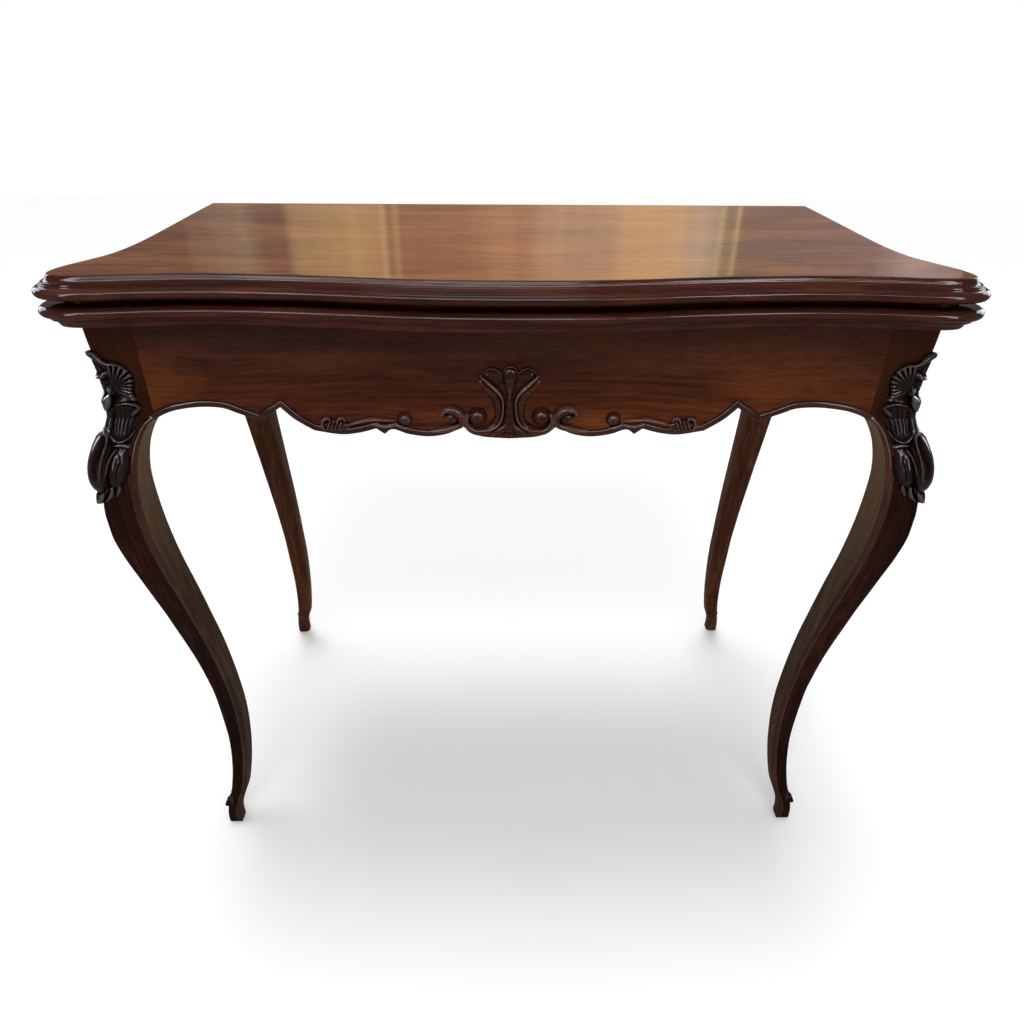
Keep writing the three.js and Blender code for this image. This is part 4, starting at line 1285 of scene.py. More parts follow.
@dataclass
class ApronCarving:
    """Palmette, scrolls and leaf curls on the front apron."""

    finishes: Finishes
    face: float = 8.8
    centre: float = -4.9
    cell: float = 0.5

    def flat(self, across: np.ndarray, up: np.ndarray, height: np.ndarray) -> np.ndarray:
        """Lays heights on the apron's face."""
        return np.stack([across, self.face - height, up], axis=-1)

    def finish(self, relief: Relief, name: str, stands_for: str) -> bpy.types.Object:
        """Makes one carving of a field."""
        return piece(name, relief.mesh(self.flat), "frame", [self.finishes.apron_carving],
                     [stands_for], crease=60)

    def placed(self, side: Side, rows: Sequence) -> list:
        """Moves points that are measured from the pattern's middle on to one half of the apron."""
        return [(self.centre + side.value * x, z) for x, z in rows]

    def palmette(self) -> None:
        """Carves the palmette in the middle, with its two arms and their eyes."""
        c = self.centre
        at = partial(self.placed, Side.RIGHT)
        field = Relief((c - 48, 589), (c + 48, 670), self.cell, middle=c)
        field.stroke(at([(0, 640), (0, 624), (0, 611), (0, 601)]), (2.8, 3.6, 6.4, 8.2), (4, 4.2, 4.2, 3.6),
                     alone=True)
        field.stroke(at([(3, 606), (8, 600.4), (15, 597.4)]), (3.4, 4.8, 3.2), (4, 3.8, 3))
        field.stroke(at([(15, 652), (10, 644), (6, 636), (3, 628)]), (11, 8.5, 6.5, 4), (3, 3, 3, 3))
        field.stroke(at([(0.6, 657.6), (0.6, 650), (0.2, 640), (0, 630)]), (7.4, 6.2, 3.6, 1.8),
                     (4.6, 4.8, 4.6, 4), alone=True)
        field.stroke(at([(-5.8, 659.6), (-3.6, 663.8), (0.8, 665.4), (5, 663.8), (7.4, 659.2)]),
                     (0.5, 0.9, 1, 0.9, 0.5), (3.6, 4.6, 4.8, 4.6, 3.6), alone=True)
        field.stroke(at([(27.6, 655), (22, 661.4), (15.6, 663), (10, 660), (7, 656.4)]),
                     (0.6, 0.9, 1, 0.9, 0.5),
                     (3, 3.6, 3.7, 3.5, 3))
        arm = [(26.6, 650.8), (20.4, 643.6), (13.8, 636), (10.6, 627.6), (10, 618), (11.6, 610.4),
               (15.8, 604.4),
               (23.3, 600.2), (31.7, 598.8), (38.4, 602.4), (41.4, 609.4), (40, 616.6)]
        field.stroke(at(arm), (3.2, 4.8, 5.4, 4.8, 4.2, 4.2, 4.4, 4.6, 4.4, 4, 3.2, 2),
                     (4.2, 5.4, 5.8, 5.4, 5, 5, 5.2, 5.4, 5.4, 5.2, 4.8, 4.2))
        ridge = [(26.8, 655.6), (19, 648.8), (11, 641), (6.8, 633.6), (6.2, 625.6), (7, 617), (9.4, 609.8),
                 (14.4, 604.4),
                 (21.9, 601.4), (30, 600.6)]
        field.stroke(at(ridge), (1.6, 2.8, 3.2, 2.6, 1.7, 1.7, 2.2, 2.4, 2.2, 1.2),
                     (5.2, 7.2, 7.6, 6.8, 5.8, 5.8, 6.4, 6.6, 6.2, 5))
        field.dome(at([(31.2, 615)])[0], (9.2, 8.8), 8)
        for lean in (0.0, 2.8):
            field.groove(at([(lean * 0.3, 626), (lean * 0.7, 612), (lean * 1.9, 595)]), 1.3, 0.7,
                         alone=not lean)
        self.finish(field, "palmette_carving", "apron_palmette")

    def scroll(self, side: Side) -> None:
        """Carves one hook, where the bead rises and curls over, and the bud beside it.

        Args:
            side: which half of the apron.
        """
        at = partial(self.placed, side)
        ends = at([(42, 0), (116, 0)])
        field = Relief((min(ends)[0], 591), (max(ends)[0], 630), self.cell)
        hook = [(65.6, 616.4), (62.6, 620.4), (56.4, 621.8), (50, 619.2), (46.4, 613.6), (47.4, 607.4),
                (53.6, 603.4),
                (64, 600.8), (76, 598.8)]
        field.stroke(at(hook), (1.6, 4, 5.4, 5, 4.2, 3.8, 3.4, 3, 2), (3.6, 5.8, 7.2, 7, 6, 5.4, 5, 4.4, 2.4))
        field.dome(at([(55.4, 613.4)])[0], (7.6, 6.4), 5.6)
        field.groove(at([(63.4, 612.6), (60.6, 608.4), (54.6, 606.8), (50, 609.4)]), 1.7, 2.4)
        bud = (101.4, 612.2)
        field.dome(at([bud])[0], (7.2, 7), 6.6)
        field.groove(at([(96.6, 616), (95.2, 611.4), (97.6, 607.2)]), 1.4, 1.8)
        field.stroke(at([(110, 606), (105, 604), (99, 602)]), (2.4, 2.8, 1.4), (3.6, 4, 2.4))
        word = side.name.lower()
        self.finish(field, f"scroll_carving_{word}", f"apron_scroll_{word}")

    def leaf(self, side: Side) -> None:
        """Carves one curled leaf that lies along the bead.

        Args:
            side: which half of the apron.
        """
        at = partial(self.placed, side)
        ends = at([(110, 0), (186, 0)])
        field = Relief((min(ends)[0], 594), (max(ends)[0], 617), self.cell)
        field.stroke(at([(160, 604), (169, 605.8), (180, 604.6)]), (4.4, 6.6, 4), (3.2, 4, 3.2))
        for k in range(4):
            x = 164.6 + 3.7 * k
            field.stroke(at([(x - 1.6, 611 - 0.4 * k), (x, 606), (x + 2.4, 601)]), (1.1, 1.7, 1.1), (4, 5, 3.8))
        field.stroke(at([(180.4, 601.4), (181.8, 607), (180, 611.8), (176, 613), (173.8, 610.6)]),
                     (1.9, 2.1, 1.9, 1.6, 1.1),
                     (4.2, 5.4, 5.6, 5.2, 4))
        field.stroke(at([(166.8, 606), (166.8, 610.4), (164.2, 613.2), (160.6, 612.6), (159.8, 609.8)]),
                     (1.6, 1.9, 1.8, 1.4, 1), (4.4, 5.4, 5.6, 5, 4))
        field.stroke(at([(158, 605.4), (148.6, 608.6), (135, 611.6), (123.6, 611.2), (112.4, 610)]),
                     (1.2, 2, 2.2, 1.8, 1),
                     (2.8, 4.4, 4.6, 4, 2.8))
        field.stroke(at([(133, 607), (122, 604.4), (113, 605)]), (1.2, 2, 1.3), (3.2, 4.2, 3.2))
        word = side.name.lower()
        self.finish(field, f"leaf_carving_{word}", f"apron_leaf_{word}")

    def build(self) -> None:
        """Carves the whole apron."""
        self.palmette()
        for side in Side:
            self.scroll(side)
            self.leaf(side)


@dataclass
class KneeCarving:
    """Shell, tongue and cartouche that wrap the outer corner of a front knee.

    Its fields are drawn by the distance from the leg's corner and by the height, and repeat on the
    leg's two outer faces.
    """

    side: Side
    finishes: Finishes
    cell: float = 0.55
    corner: float = 3.0

    def wrap(self, along: np.ndarray, up: np.ndarray, height: np.ndarray) -> np.ndarray:
        """Lays heights round the leg's corner.

        Args:
            along: distance from the corner, over the front where positive, over the side where negative.
            up: z of each point.
            height: how far it stands out.

        Returns:
            The points.
        """
        out = CabrioleLeg.reach(up)
        quarter = self.corner * math.pi / 4
        angle = np.clip(along / quarter, -1, 1) * math.pi / 4 + math.pi / 4
        beyond = np.maximum(np.abs(along) - quarter, 0)
        p = out - self.corner + (self.corner + height) * np.cos(angle) - np.where(along > 0, beyond, 0)
        q = out - self.corner + (self.corner + height) * np.sin(angle) - np.where(along < 0, beyond, 0)
        return np.stack([self.side.value * (HALF_FRAME + p), FRAME_FRONT - q, up], axis=-1)

    def shell(self, field: Relief) -> None:
        """Carves the scallop with its rim, ribs and leaf points.

        Args:
            field: heights to build up.
        """
        field.dome((11, 649), (15.5, 16), 3.4)
        root = (7, 641)
        ends = [(11.6, 664.8), (16.6, 664.8), (21, 663), (24.6, 659.4), (26.4, 654.8), (26.2, 650),
                (25, 645.8), (23.8, 642), (23.2, 638.2), (23.4, 634.6), (24.6, 631.4)]
        for x, z in ends:
            middle = (root[0] + 0.6 * (x - root[0]), root[1] + 0.6 * (z - root[1]) + 0.8)
            field.stroke([root, middle, (x, z)], (0.9, 2.0, 2.5), (3.4, 4.4, 5.4))
        rim = [(0, 678.5), (2.8, 676.6), (4.8, 672.6), (7.6, 668.6), (11.6, 666.6), (16.2, 666.4), (21, 665),
               (24.6, 661.6)]
        field.stroke(rim, (1.2, 1.7, 2, 2, 1.6, 1.3, 1.1, 0.9), (6.6, 6.2, 5.8, 5.8, 5.8, 5.8, 5.6, 5.2))
        field.stroke([(9, 663), (4.6, 669), (0, 676.6)], (4.4, 3.4, 1.1), (4, 5, 6.2))
        field.stroke([(7, 656), (3.4, 655.6), (0, 652.6)], (4, 4, 1.6), (3.8, 5.2, 7))
        field.stroke([(0, 668), (0, 646)], (5, 5), (3.6, 4.2), alone=True)
        field.dome((5, 640.4), (4.2, 6.4), 6.4)
        field.groove([(3.6, 645), (7.2, 642), (5.4, 636.5)], 1.8, 1.4)
        field.stroke([(3.8, 636.5), (1.4, 630), (0, 620.6)], (1.8, 3.6, 1.6), (6, 7.8, 6.8))

    def tongue(self, field: Relief) -> None:
        """Carves the fluted tongue below the shell.

        Args:
            field: heights to build up.
        """
        field.stroke([(13.5, 622), (13.5, 610), (13.6, 600)], (11.5, 12.5, 10.5), (5, 5.6, 6.4))
        field.stroke([(0, 619), (0, 603)], (6, 6), (5, 5.4), alone=True)
        field.stroke([(20, 616), (25, 619.4), (29, 622.6)], (4.2, 3, 0.9), (5, 5.4, 6.4))
        flutes = [((3, 619), (4, 606), (8.4, 595)), ((6.6, 621), (7.4, 608), (11.4, 594)),
                  ((11.4, 622.4), (11.4, 608), (14, 594)), ((16.6, 622.4), (15.6, 609), (16.6, 594)),
                  ((21.4, 620.6), (19.4, 609), (19.4, 596)), ((25.4, 618), (22.6, 609), (22, 600))]
        for head, middle, foot in flutes:
            field.groove([head, middle, foot], 1.5, 0.8)
        field.stroke([(7, 625.4), (16.4, 627.6), (25, 626), (29.2, 623)], (1.3, 1.7, 1.6, 0.9),
                     (5.6, 6, 6, 6.4))
        rim = [(0.8, 603.6), (4, 598.2), (8.8, 593), (15.2, 591.4), (22, 595), (25.6, 601)]
        field.stroke(rim, (1, 1.4, 1.7, 1.7, 1.4, 0.9), (6.4, 7, 7.2, 6.8, 5.8, 4.6))
        field.stroke([(4.8, 587), (14.2, 588), (23, 585.6)], (2.2, 3, 1.6), (5.2, 5.8, 4))

    def cartouche(self, field: Relief) -> None:
        """Carves the swelling cartouche on the knee's corner with the leaf tips under it.

        Args:
            field: heights to build up.
        """
        field.dome((0, 571.5), (11.5, 34), 15.4, alone=True)
        field.dome((13, 566), (11.4, 22), 9, turned=4)
        ridge = [(0.4, 601.5), (3.6, 594.6), (3.8, 586.4), (3, 577.6), (2.8, 568.6), (2.8, 559), (1.2, 549.6)]
        field.stroke(ridge, (1.1, 1.8, 1.9, 1.8, 1.8, 1.6, 1), (7, 13.4, 16, 16.8, 16.6, 14.6, 10))
        field.stroke([(12, 584), (9.4, 579), (7.8, 572), (7, 564), (5.4, 556)], (1.8, 2.2, 2, 1.8, 1.2),
                     (9.6, 11.8, 12.6, 11.8, 9))
        field.groove([(13.6, 583), (17.4, 572), (15.8, 555)], 2.0, 1.0)
        field.stroke([(5, 545), (2.2, 538), (0, 530.2)], (3.4, 3.4, 1.6), (4.6, 6.6, 6.8))
        field.stroke([(10.4, 545), (9.4, 538), (4.4, 531.4)], (2.8, 2.8, 1.2), (4, 5, 4))
        field.stroke([(17.6, 550), (17.4, 543), (15.4, 537.4)], (2.6, 2.4, 1.1), (4, 4.6, 3.6))
        field.groove([(4.8, 546), (4.4, 538), (2.4, 532)], 1.2, 1.2)

    def build(self) -> bpy.types.Object:
        """Carves the knee."""
        field = Relief((-34, 525), (34, 682), self.cell, middle=0.0)
        self.shell(field)
        self.tongue(field)
        self.cartouche(field)
        word = self.side.name.lower()
        return piece(f"knee_carving_{word}", field.mesh(self.wrap), "frame",
                     [self.finishes.carved], [f"knee_shell_{word}", f"knee_cartouche_{word}"], crease=60)


# ---- Inside of the frame, ironwork and hinges ----
@dataclass
class Inside:
    """Card well, pivot board and stop peg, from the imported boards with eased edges."""

    finishes: Finishes
    easing: float = 0.6
    flat_angle: float = 1.0
    sharp_angle: float = 50.0
    boards = ("well_floor", "well_bearer_front", "well_bearer_rear", "well_partition", "pivot_board")

    def ease_board(self, node: str, body: str = "frame") -> bpy.types.Object:
        """Copies a packed board and eases its sharp edges.

        Args:
            node: its CAD node.
            body: CAD body that it rides on.

        Returns:
            The object.
        """
        bm = bmesh.new()
        bm.from_mesh(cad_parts[node].data)
        bmesh.ops.remove_doubles(bm, verts=bm.verts, dist=1e-6)
        bmesh.ops.scale(bm, verts=bm.verts, vec=(1 / MILLIMETRE,) * 3)
        bmesh.ops.translate(bm, verts=bm.verts, vec=(0.0, FRONT_TO_ORIGIN, 0.0))
        bmesh.ops.dissolve_limit(bm, angle_limit=math.radians(self.flat_angle), verts=bm.verts, edges=bm.edges)
        turning = math.radians(self.sharp_angle)
        sharp = [e for e in bm.edges if len(e.link_faces) == 2 and e.calc_face_angle() > turning]
        ease(bm, sharp, self.easing)
        return piece(f"{node}_board", bm, body, [self.finishes.plain], [node])

    def build(self) -> None:
        """Builds the boards and the peg."""
        for node in self.boards:
            self.ease_board(node)
        self.ease_board("stop_peg", "turning_top")


@dataclass
class PivotIron:
    """Ring, plate, bolt, washer and nut on which the top turns."""

    finishes: Finishes
    leaf_base: float = 704.9
    bolt: float = 5.0
    bolt_below: float = 13.0
    bolt_above: float = 11.0
    board: float = 20.0
    ring: float = 27.0
    ring_thickness: float = 2.0
    plate_thickness: float = 1.7
    washer: float = 12.0
    nut: float = 10.0
    nut_height: float = 7.0

    def put(self, bm: bmesh.types.BMesh, name: str, body: str, node: str) -> bpy.types.Object:
        """Lays one piece of ironwork at the pivot."""
        bmesh.ops.translate(bm, verts=bm.verts, vec=(*PIVOT, 0.0))
        return piece(name, bm, body, [self.finishes.iron], [node])

    def disc(self, inner: float, outer: float, low: float, high: float, name: str, body: str,
             node: str) -> None:
        """Turns a flat ring with eased edges.

        Args:
            inner: radius of its hole.
            outer: its own radius.
            low: its underside.
            high: its upper side.
            name: the piece's name.
            body: CAD body that it rides on.
            node: CAD node that it replaces.
        """
        bm = bmesh.new()
        e = 0.35
        rows = [(inner, low + e), (inner + e, low), (outer - e, low), (outer, low + e), (outer, high - e),
                (outer - e, high), (inner + e, high), (inner, high - e), (inner, low + e)]
        turn(bm, rows, 64)
        self.put(bm, name, body, node)

    def build(self) -> None:
        """Builds the ironwork."""
        room = self.bolt + SEAT_GAP
        thick, base, washer = self.ring_thickness, self.leaf_base, FRAME_TOP - self.board - SEAT_GAP
        self.disc(room, self.ring, FRAME_TOP - thick, FRAME_TOP, "swivel_ring", "frame", "pivot_ring")
        self.disc(room, self.washer, washer - thick, washer, "swivel_washer", "frame", "pivot_washer")
        self.disc(room, self.ring, base, base + self.plate_thickness, "swivel_plate", "turning_top",
                  "pivot_plate")
        bm = bmesh.new()
        low, high = FRAME_TOP - self.board - self.bolt_below, base + self.bolt_above
        threads = [(4.55 if i % 2 else 4.98, low + 1.2 + 0.5 * i) for i in range(24)]
        turn(bm, [(0, low), (4.1, low), *threads, (5, threads[-1][1] + 0.5), (5, high - 0.5), (4.5, high),
                  (0, high)], 32)
        self.put(bm, "swivel_bolt", "turning_top", "pivot_bolt")
        bm = bmesh.new()
        top = washer - thick - SEAT_GAP
        foot, wide, eased = top - self.nut_height, self.nut, self.nut - 0.8
        rows = [(room, foot), (eased, foot), (wide, foot + 0.6), (wide, top - 0.6), (eased, top), (room, top),
                (room, foot)]
        turn(bm, rows, 6)
        self.put(bm, "swivel_nut", "turning_top", "pivot_nut")


@dataclass
class Hinge:
    """Brass butt hinge in the fold edge, with its pin and countersunk screws."""

    side: Side
    finishes: Finishes
    length: float = 48.0
    depth: float = 15.0
    plate: float = 1.6
    knuckle: float = 3.0
    gap: float = 0.4
    pin: float = 1.1
    screw_spacing: float = 30.0

    def put(self, bm: bmesh.types.BMesh, name: str, body: str, node: str) -> None:
        """Lays one piece at the hinge's place.

        Args:
            bm: its mesh, drawn with the pin along X at the origin.
            name: the piece's name.
            body: CAD body that it rides on.
            node: CAD node that it replaces.
        """
        place = (self.side.value * HINGE_PLACE, FRAME_BACK, FOLD_HEIGHT)
        bmesh.ops.translate(bm, verts=bm.verts, vec=place)
        piece(name, bm, body, [self.finishes.brass], [node], crease=25)

    def leaf(self, rise: int) -> bmesh.types.BMesh:
        """Draws one plate with its knuckles.

        Args:
            rise: 1 for the upper plate, -1 for the lower one.

        Returns:
            Its mesh.
        """
        bm = bmesh.new()
        half, third = self.length / 2, self.length / 6
        face, turn_in = -SEAT_GAP, 0.3
        spans = [(-third + self.gap, third - self.gap)] if rise > 0 else [
            (-half, -third - self.gap), (third + self.gap, half)]
        low, high = sorted((rise * (self.knuckle + self.gap), rise * self.depth))
        block(bm, (-half, face - self.plate, low), (half, face, high), 0.25)
        for x0, x1 in spans:
            bore, rim = self.pin + SEAT_GAP, self.knuckle - turn_in
            turn(bm, [(bore, x0), (rim, x0), (self.knuckle, x0 + turn_in), (self.knuckle, x1 - turn_in),
                      (rim, x1), (bore, x1), (bore, x0)], 32, "X")
            low, high = sorted((rise * 1.6, rise * (self.knuckle + self.gap + 0.3)))
            block(bm, (x0 + 0.05, face - self.plate, low), (x1 - 0.05, face, high))
        return bm

    def screw(self) -> bmesh.types.BMesh:
        """Draws a countersunk screw with a slot, pointing towards -Y."""
        bm = bmesh.new()
        head, cone, tip = -0.46, -1.66, -14.5
        threads = [(1.2 if i % 2 else 0.85, cone - 1.5 - 0.55 * i) for i in range(18)]
        rows = [(0, head), (2.5, head), (2.68, head - 0.15), (1.2, cone), (1.2, cone - 1), *threads, (0, tip)]
        turn(bm, [(r, z) for r, z in reversed(rows)], 24, "Y")
        self.cut_slot(bm, head)
        return bm

    @staticmethod
    def cut_slot(bm: bmesh.types.BMesh, head: float, half: float = 0.33, depth: float = 0.7) -> None:
        """Sinks the driver's slot into a screw's head.

        Args:
            bm: the screw's mesh.
            head: y of the head's face.
            half: half of the slot's width.
            depth: its depth.
        """
        for x in (-half, half):
            whole = [*bm.verts, *bm.edges, *bm.faces]
            bmesh.ops.bisect_plane(bm, geom=whole, plane_co=(x, 0, 0), plane_no=(1, 0, 0), dist=1e-5)
        strip = [f for f in bm.faces if abs(f.calc_center_median().x) < half and f.normal.y > 0.9
                 and f.calc_center_median().y > head - 0.02]
        grown = bmesh.ops.extrude_face_region(bm, geom=strip)["geom"]
        bmesh.ops.translate(bm, verts=[g for g in grown if isinstance(g, bmesh.types.BMVert)],
                            vec=(0, -depth, 0))

    def build(self) -> None:
        """Builds the hinge."""
        word = self.side.name.lower()
        for level, rise, body in (("lower", -1, "turning_top"), ("upper", 1, "flap")):
            self.put(self.leaf(rise), f"butt_hinge_{level}_{word}", body, f"hinge_{level}_{word}")
            for i, x in enumerate((-self.screw_spacing / 2, self.screw_spacing / 2)):
                bm = self.screw()
                height = rise * (self.knuckle + self.depth) / 2
                bmesh.ops.translate(bm, verts=bm.verts, vec=(x, 0.0, height))
                self.put(bm, f"wood_screw_{level}_{word}_{i + 1}", body, f"hinge_screw_{level}_{word}_{i + 1}")
        bm = bmesh.new()
        half = self.length / 2
        turn(bm, [(0, -half), (0.9, -half), (self.pin, 0.3 - half), (self.pin, half - 0.3), (0.9, half),
                  (0, half)], 24, "X")
        self.put(bm, f"hinge_rod_{word}", "turning_top", f"hinge_pin_{word}")


# ---- Studio ----
@dataclass
class Studio:
    """Pale floor, white surroundings, soft lamps and the photograph's camera."""

    lens: float = 25.3125
    place: tuple[float, float, float] = (-0.0123, -0.8407, 0.895)
    pitch: float = 30.95
    yaw: float = 0.941
    roll: float = 0.437
    floor_colour: float = 0.8
    floor_in_sight: Colour = (0.95, 0.95, 0.955)
    floor_glow: float = 0.17
    world_level: float = 0.34
    sun_level: float = 1.62
    sun_angle: float = 27.0
    sun_ahead: tuple[float, float, float] = (0.07, -0.2, -1.0)
    front_level: float = 7.5
    window_level: float = 24.0
    window_colour: Colour = (0.82, 0.9, 1.0)
    room_from: float = -1.6
    room_width: float = 4.0
    room = (
        (0, (0.06, 0.05, 0.03)), (0.075, (0.22, 0.2, 0.12)), (0.0975, (0.08, 0.045, 0.03)),
        (0.1237, (0.08, 0.045, 0.03)), (0.135, (0.45, 0.3, 0.12)), (0.225, (0.75, 0.47, 0.16)),
        (0.2438, (0.6, 0.34, 0.11)), (0.2483, (0.95, 0.68, 0.28)), (0.2528, (0.4, 0.2, 0.07)),
        (0.2602, (0.4, 0.2, 0.07)), (0.264, (0.85, 0.58, 0.24)), (0.2685, (0.34, 0.16, 0.06)),
        (0.3525, (0.36, 0.16, 0.07)), (0.3975, (0.56, 0.28, 0.13)), (0.4275, (0.5, 0.26, 0.12)),
        (0.45, (0.68, 0.42, 0.24)), (0.525, (0.7, 0.46, 0.28)), (0.57, (0.98, 0.62, 0.26)),
        (0.6225, (0.95, 0.62, 0.3)), (0.645, (0.84, 0.64, 0.44)), (0.6698, (0.6, 0.5, 0.34)),
        (0.6743, (1, 0.82, 0.4)), (0.6787, (0.3, 0.28, 0.17)), (0.6907, (0.26, 0.22, 0.13)),
        (0.6945, (0.95, 0.75, 0.34)), (0.6983, (0.2, 0.17, 0.1)), (0.71, (0.17, 0.14, 0.12)),
        (0.8, (0.16, 0.14, 0.135)), (0.88, (0.2, 0.17, 0.17)), (0.93, (0.5, 0.43, 0.43)),
        (1, (0.3, 0.26, 0.26)),
    )

    def camera(self) -> None:
        """Sets the camera."""
        data = bpy.data.cameras.new("camera")
        data.lens, data.sensor_width = self.lens, 36.0
        data.clip_start, data.clip_end = 0.05, 60.0
        camera = add_object("camera", data)
        yaw, pitch = math.radians(self.yaw), math.radians(self.pitch)
        ahead = Vector((math.sin(yaw) * math.cos(pitch), math.cos(yaw) * math.cos(pitch), -math.sin(pitch)))
        turned = ahead.to_track_quat("-Z", "Y").to_matrix().to_4x4()
        rolled = Matrix.Rotation(math.radians(self.roll), 4, "Z")
        camera.matrix_world = Matrix.Translation(self.place) @ turned @ rolled
        bpy.context.scene.camera = camera

    def white_for_sight(self, net: Network, plain: object, shown: object) -> object:
        """Mixes what lights the object with what the camera, gloss and glass see.

        Args:
            net: network to build in.
            plain: shader for light.
            shown: shader for sight.

        Returns:
            The mixed shader output.
        """
        path = net.add("LightPath").outputs
        sight = net.maths("MAXIMUM", path["Is Camera Ray"],
                          net.maths("MAXIMUM", path["Is Glossy Ray"], path["Is Transmission Ray"]))
        return net.add("MixShader", {0: sight, 1: plain, 2: shown}).outputs[0]

    def world(self) -> None:
        """Surrounds the table with white."""
        world = bpy.data.worlds.new("surroundings")
        world.use_nodes = True
        world.node_tree.nodes.clear()
        net = Network(world)
        plain = net.add("Background", {"Color": (1.0, 1.0, 1.0), "Strength": self.world_level}).outputs[0]
        shown = net.add("Background", {"Color": (1.0, 1.0, 1.0), "Strength": 1.0}).outputs[0]
        net.add("OutputWorld", {"Surface": self.white_for_sight(net, plain, shown)})
        bpy.context.scene.world = world

    def floor(self) -> None:
        """Lays the floor."""
        net = Network.start("pale_floor")
        plain = net.add("BsdfDiffuse", {"Color": (self.floor_colour,) * 3}).outputs[0]
        pale = net.add("BsdfDiffuse", {"Color": self.floor_in_sight}).outputs[0]
        glow = net.add("Emission", {"Color": (1.0, 1.0, 1.0), "Strength": self.floor_glow}).outputs[0]
        shown = net.add("AddShader", {0: pale, 1: glow}).outputs[0]
        net.add("OutputMaterial", {"Surface": self.white_for_sight(net, plain, shown)})
        bm = bmesh.new()
        bmesh.ops.create_grid(bm, x_segments=1, y_segments=1, size=6.0)
        mesh = bpy.data.meshes.new("floor")
        bm.to_mesh(mesh)
        bm.free()
        mesh.materials.append(net.material)
        add_object("floor", mesh)

    def lamp(self, name: str, place: tuple, target: tuple, size: tuple, level: float,
             colour: Colour = (1, 1, 1), gloss_only: bool = True) -> bpy.types.Object:
        """Hangs a soft lamp.

        Args:
            name: its name.
            place: where it hangs.
            target: what it points at.
            size: its width and height.
            level: how bright its face is.
            colour: its colour.
            gloss_only: whether it shows in polish alone.

        Returns:
            The lamp.
        """
        data = bpy.data.lights.new(name, "AREA")
        data.shape, data.size, data.size_y = "RECTANGLE", size[0], size[1]
        data.energy, data.color = level * math.pi * size[0] * size[1], colour
        made = add_object(name, data)
        ahead = Vector(target) - Vector(place)
        made.matrix_world = Matrix.Translation(place) @ ahead.to_track_quat("-Z", "Y").to_matrix().to_4x4()
        made.visible_diffuse = not gloss_only
        return made

    def room_behind(self) -> None:
        """Hangs the warm, uneven wall of light that the polished top mirrors."""
        middle = self.room_from + self.room_width / 2
        wall = self.lamp("room", (middle, 3.0, 1.45), (middle, 0.0, 1.45), (self.room_width, 1.5), 8.0)
        wall.data.use_nodes = True
        wall.data.node_tree.nodes.clear()
        net = Network(wall.data)
        spot = net.add("NewGeometry").outputs["Parametric"]
        apart = net.add("SeparateXYZ", {0: spot}).outputs
        ramp = net.add("ValToRGB", {0: net.maths("SUBTRACT", 1.0, apart["X"])})
        stops = ramp.color_ramp.elements
        for stop in list(stops)[1:]:
            stops.remove(stop)
        stops[0].position, stops[0].color = self.room[0][0], (*self.room[0][1], 1)
        for place, colour in self.room[1:]:
            stops.new(place).color = (*colour, 1)
        folds = net.noise(net.add("Mapping", {"Vector": spot, "Scale": (60.0, 1.5, 1.0)}).outputs[0], 1.0, 3.0)
        rise = net.plus(net.times(apart["Y"], 1.68), 0.31)
        level = net.times(rise, net.span(folds, 0.3, 0.7, 0.88, 1.12))
        glow = net.add("Emission", {"Color": ramp.outputs[0], "Strength": level}).outputs[0]
        net.add("OutputLight", {"Surface": glow})

    def sun(self) -> None:
        """Hangs the broad, soft main light, above and a little behind and to the left."""
        data = bpy.data.lights.new("main", "SUN")
        data.energy, data.angle = self.sun_level, math.radians(self.sun_angle)
        turned = Vector(self.sun_ahead).to_track_quat("-Z", "Y").to_matrix()
        add_object("main", data).matrix_world = turned.to_4x4()

    def build(self) -> None:
        """Builds the studio."""
        self.camera()
        self.world()
        self.floor()
        self.sun()
        level, pale = self.window_level, self.window_colour
        self.lamp("front", (0.0, -1.7, 2.7), (0.0, 0.0, 0.6), (1.4, 0.8), self.front_level, gloss_only=False)
        self.lamp("front_window", (0.0, -2.4, 2.22), (0.0, 0.0, 0.7), (5.0, 0.18), level * 2.2,
                  (1.0, 0.93, 0.92))
        self.lamp("skylight", (-0.6, -2.4, 3.05), (-0.1, 0.0, 0.7), (2.6, 0.9), level * 0.7, pale)
        for side in Side:
            word, way = side.name.lower(), side.value
            self.lamp(f"window_{word}", (way * 2.2, 0.9, 1.3), (way * 0.4, 0.0, 0.6), (1.2, 1.3), level, pale)
            self.lamp(f"pane_{word}", (way * 1.5, -2.0, 1.5), (way * 0.35, 0.0, 0.6), (0.3, 1.7), level * 1.6,
                      pale)
        self.room_behind()
        bpy.context.scene.view_settings.view_transform = "Standard"


def main() -> None:
    """Builds the table and its studio, in order."""
    logging.basicConfig(level=logging.INFO, format="%(message)s")
    finishes = Finishes()
    Studio().build()
    for rise in (1, -1):
        Leaf(rise, finishes).build()
    for end in End:
        for side in Side:
            CabrioleLeg(side, end, finishes).build()
    quarter = math.pi / 2
    Apron("front_apron", "apron_front", HALF_FRONT, 114.0, FRONT_EDGE, 6, 0.0,
          (0.0, FRAME_FRONT + 0.8), finishes.along, finishes.bead_along, shift=-4.5, bead_width=6.8).build()
    Apron("rear_apron", "apron_rear", HALF_FRONT, 108.0, SIDE_EDGE, 3, math.pi,
          (0.0, FRAME_BACK - 0.8), finishes.along, finishes.bead_along).build()
    for side in Side:
        word = side.name.lower()
        Apron(f"side_apron_{word}", f"apron_{word}", HALF_SIDE, 108.0, SIDE_EDGE, 3, side.value * quarter,
              (side.value * (HALF_FRAME - 0.8), FRAME_MIDDLE), finishes.deep, finishes.bead_deep).build()
        KneeCarving(side, finishes).build()
        Hinge(side, finishes).build()
    ApronCarving(finishes).build()
    Inside(finishes).build()
    PivotIron(finishes).build()


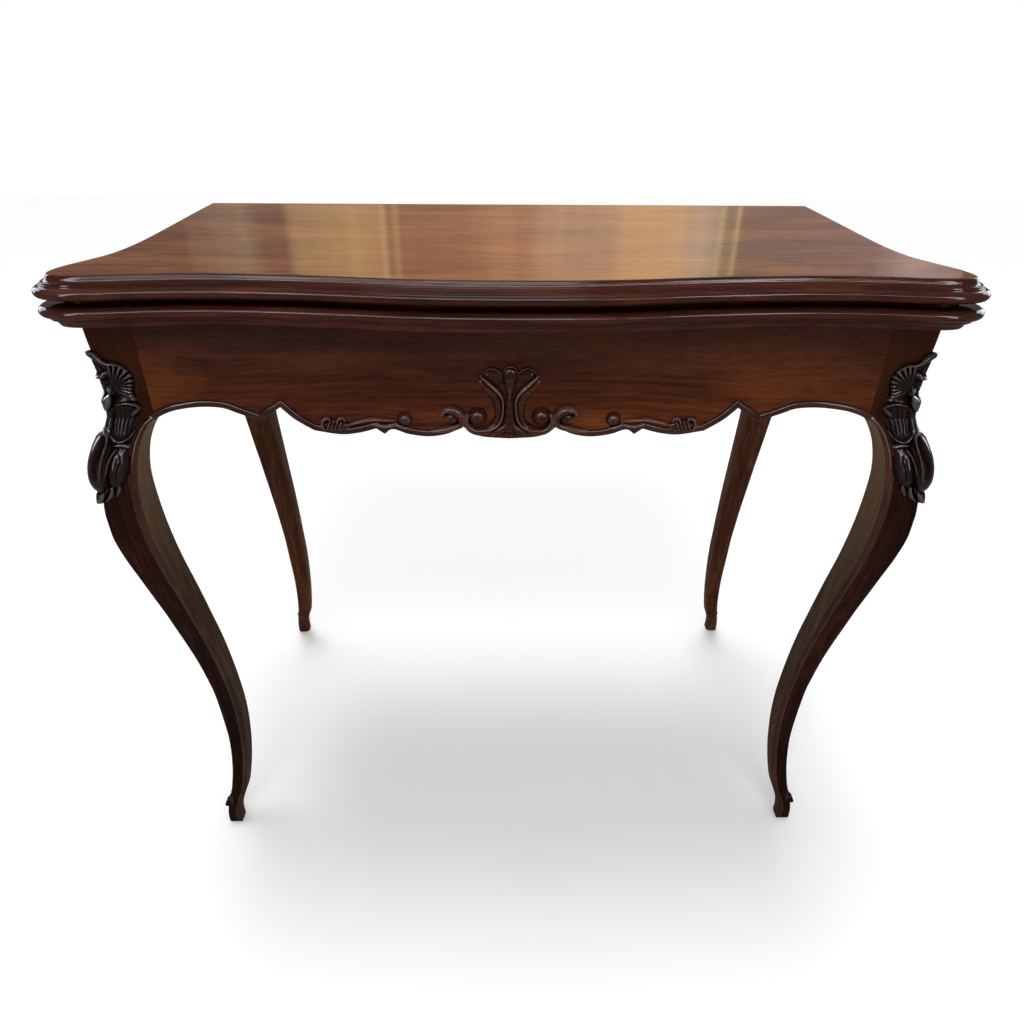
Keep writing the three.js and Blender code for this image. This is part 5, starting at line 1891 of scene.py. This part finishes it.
if __name__ == "__main__":
    main()
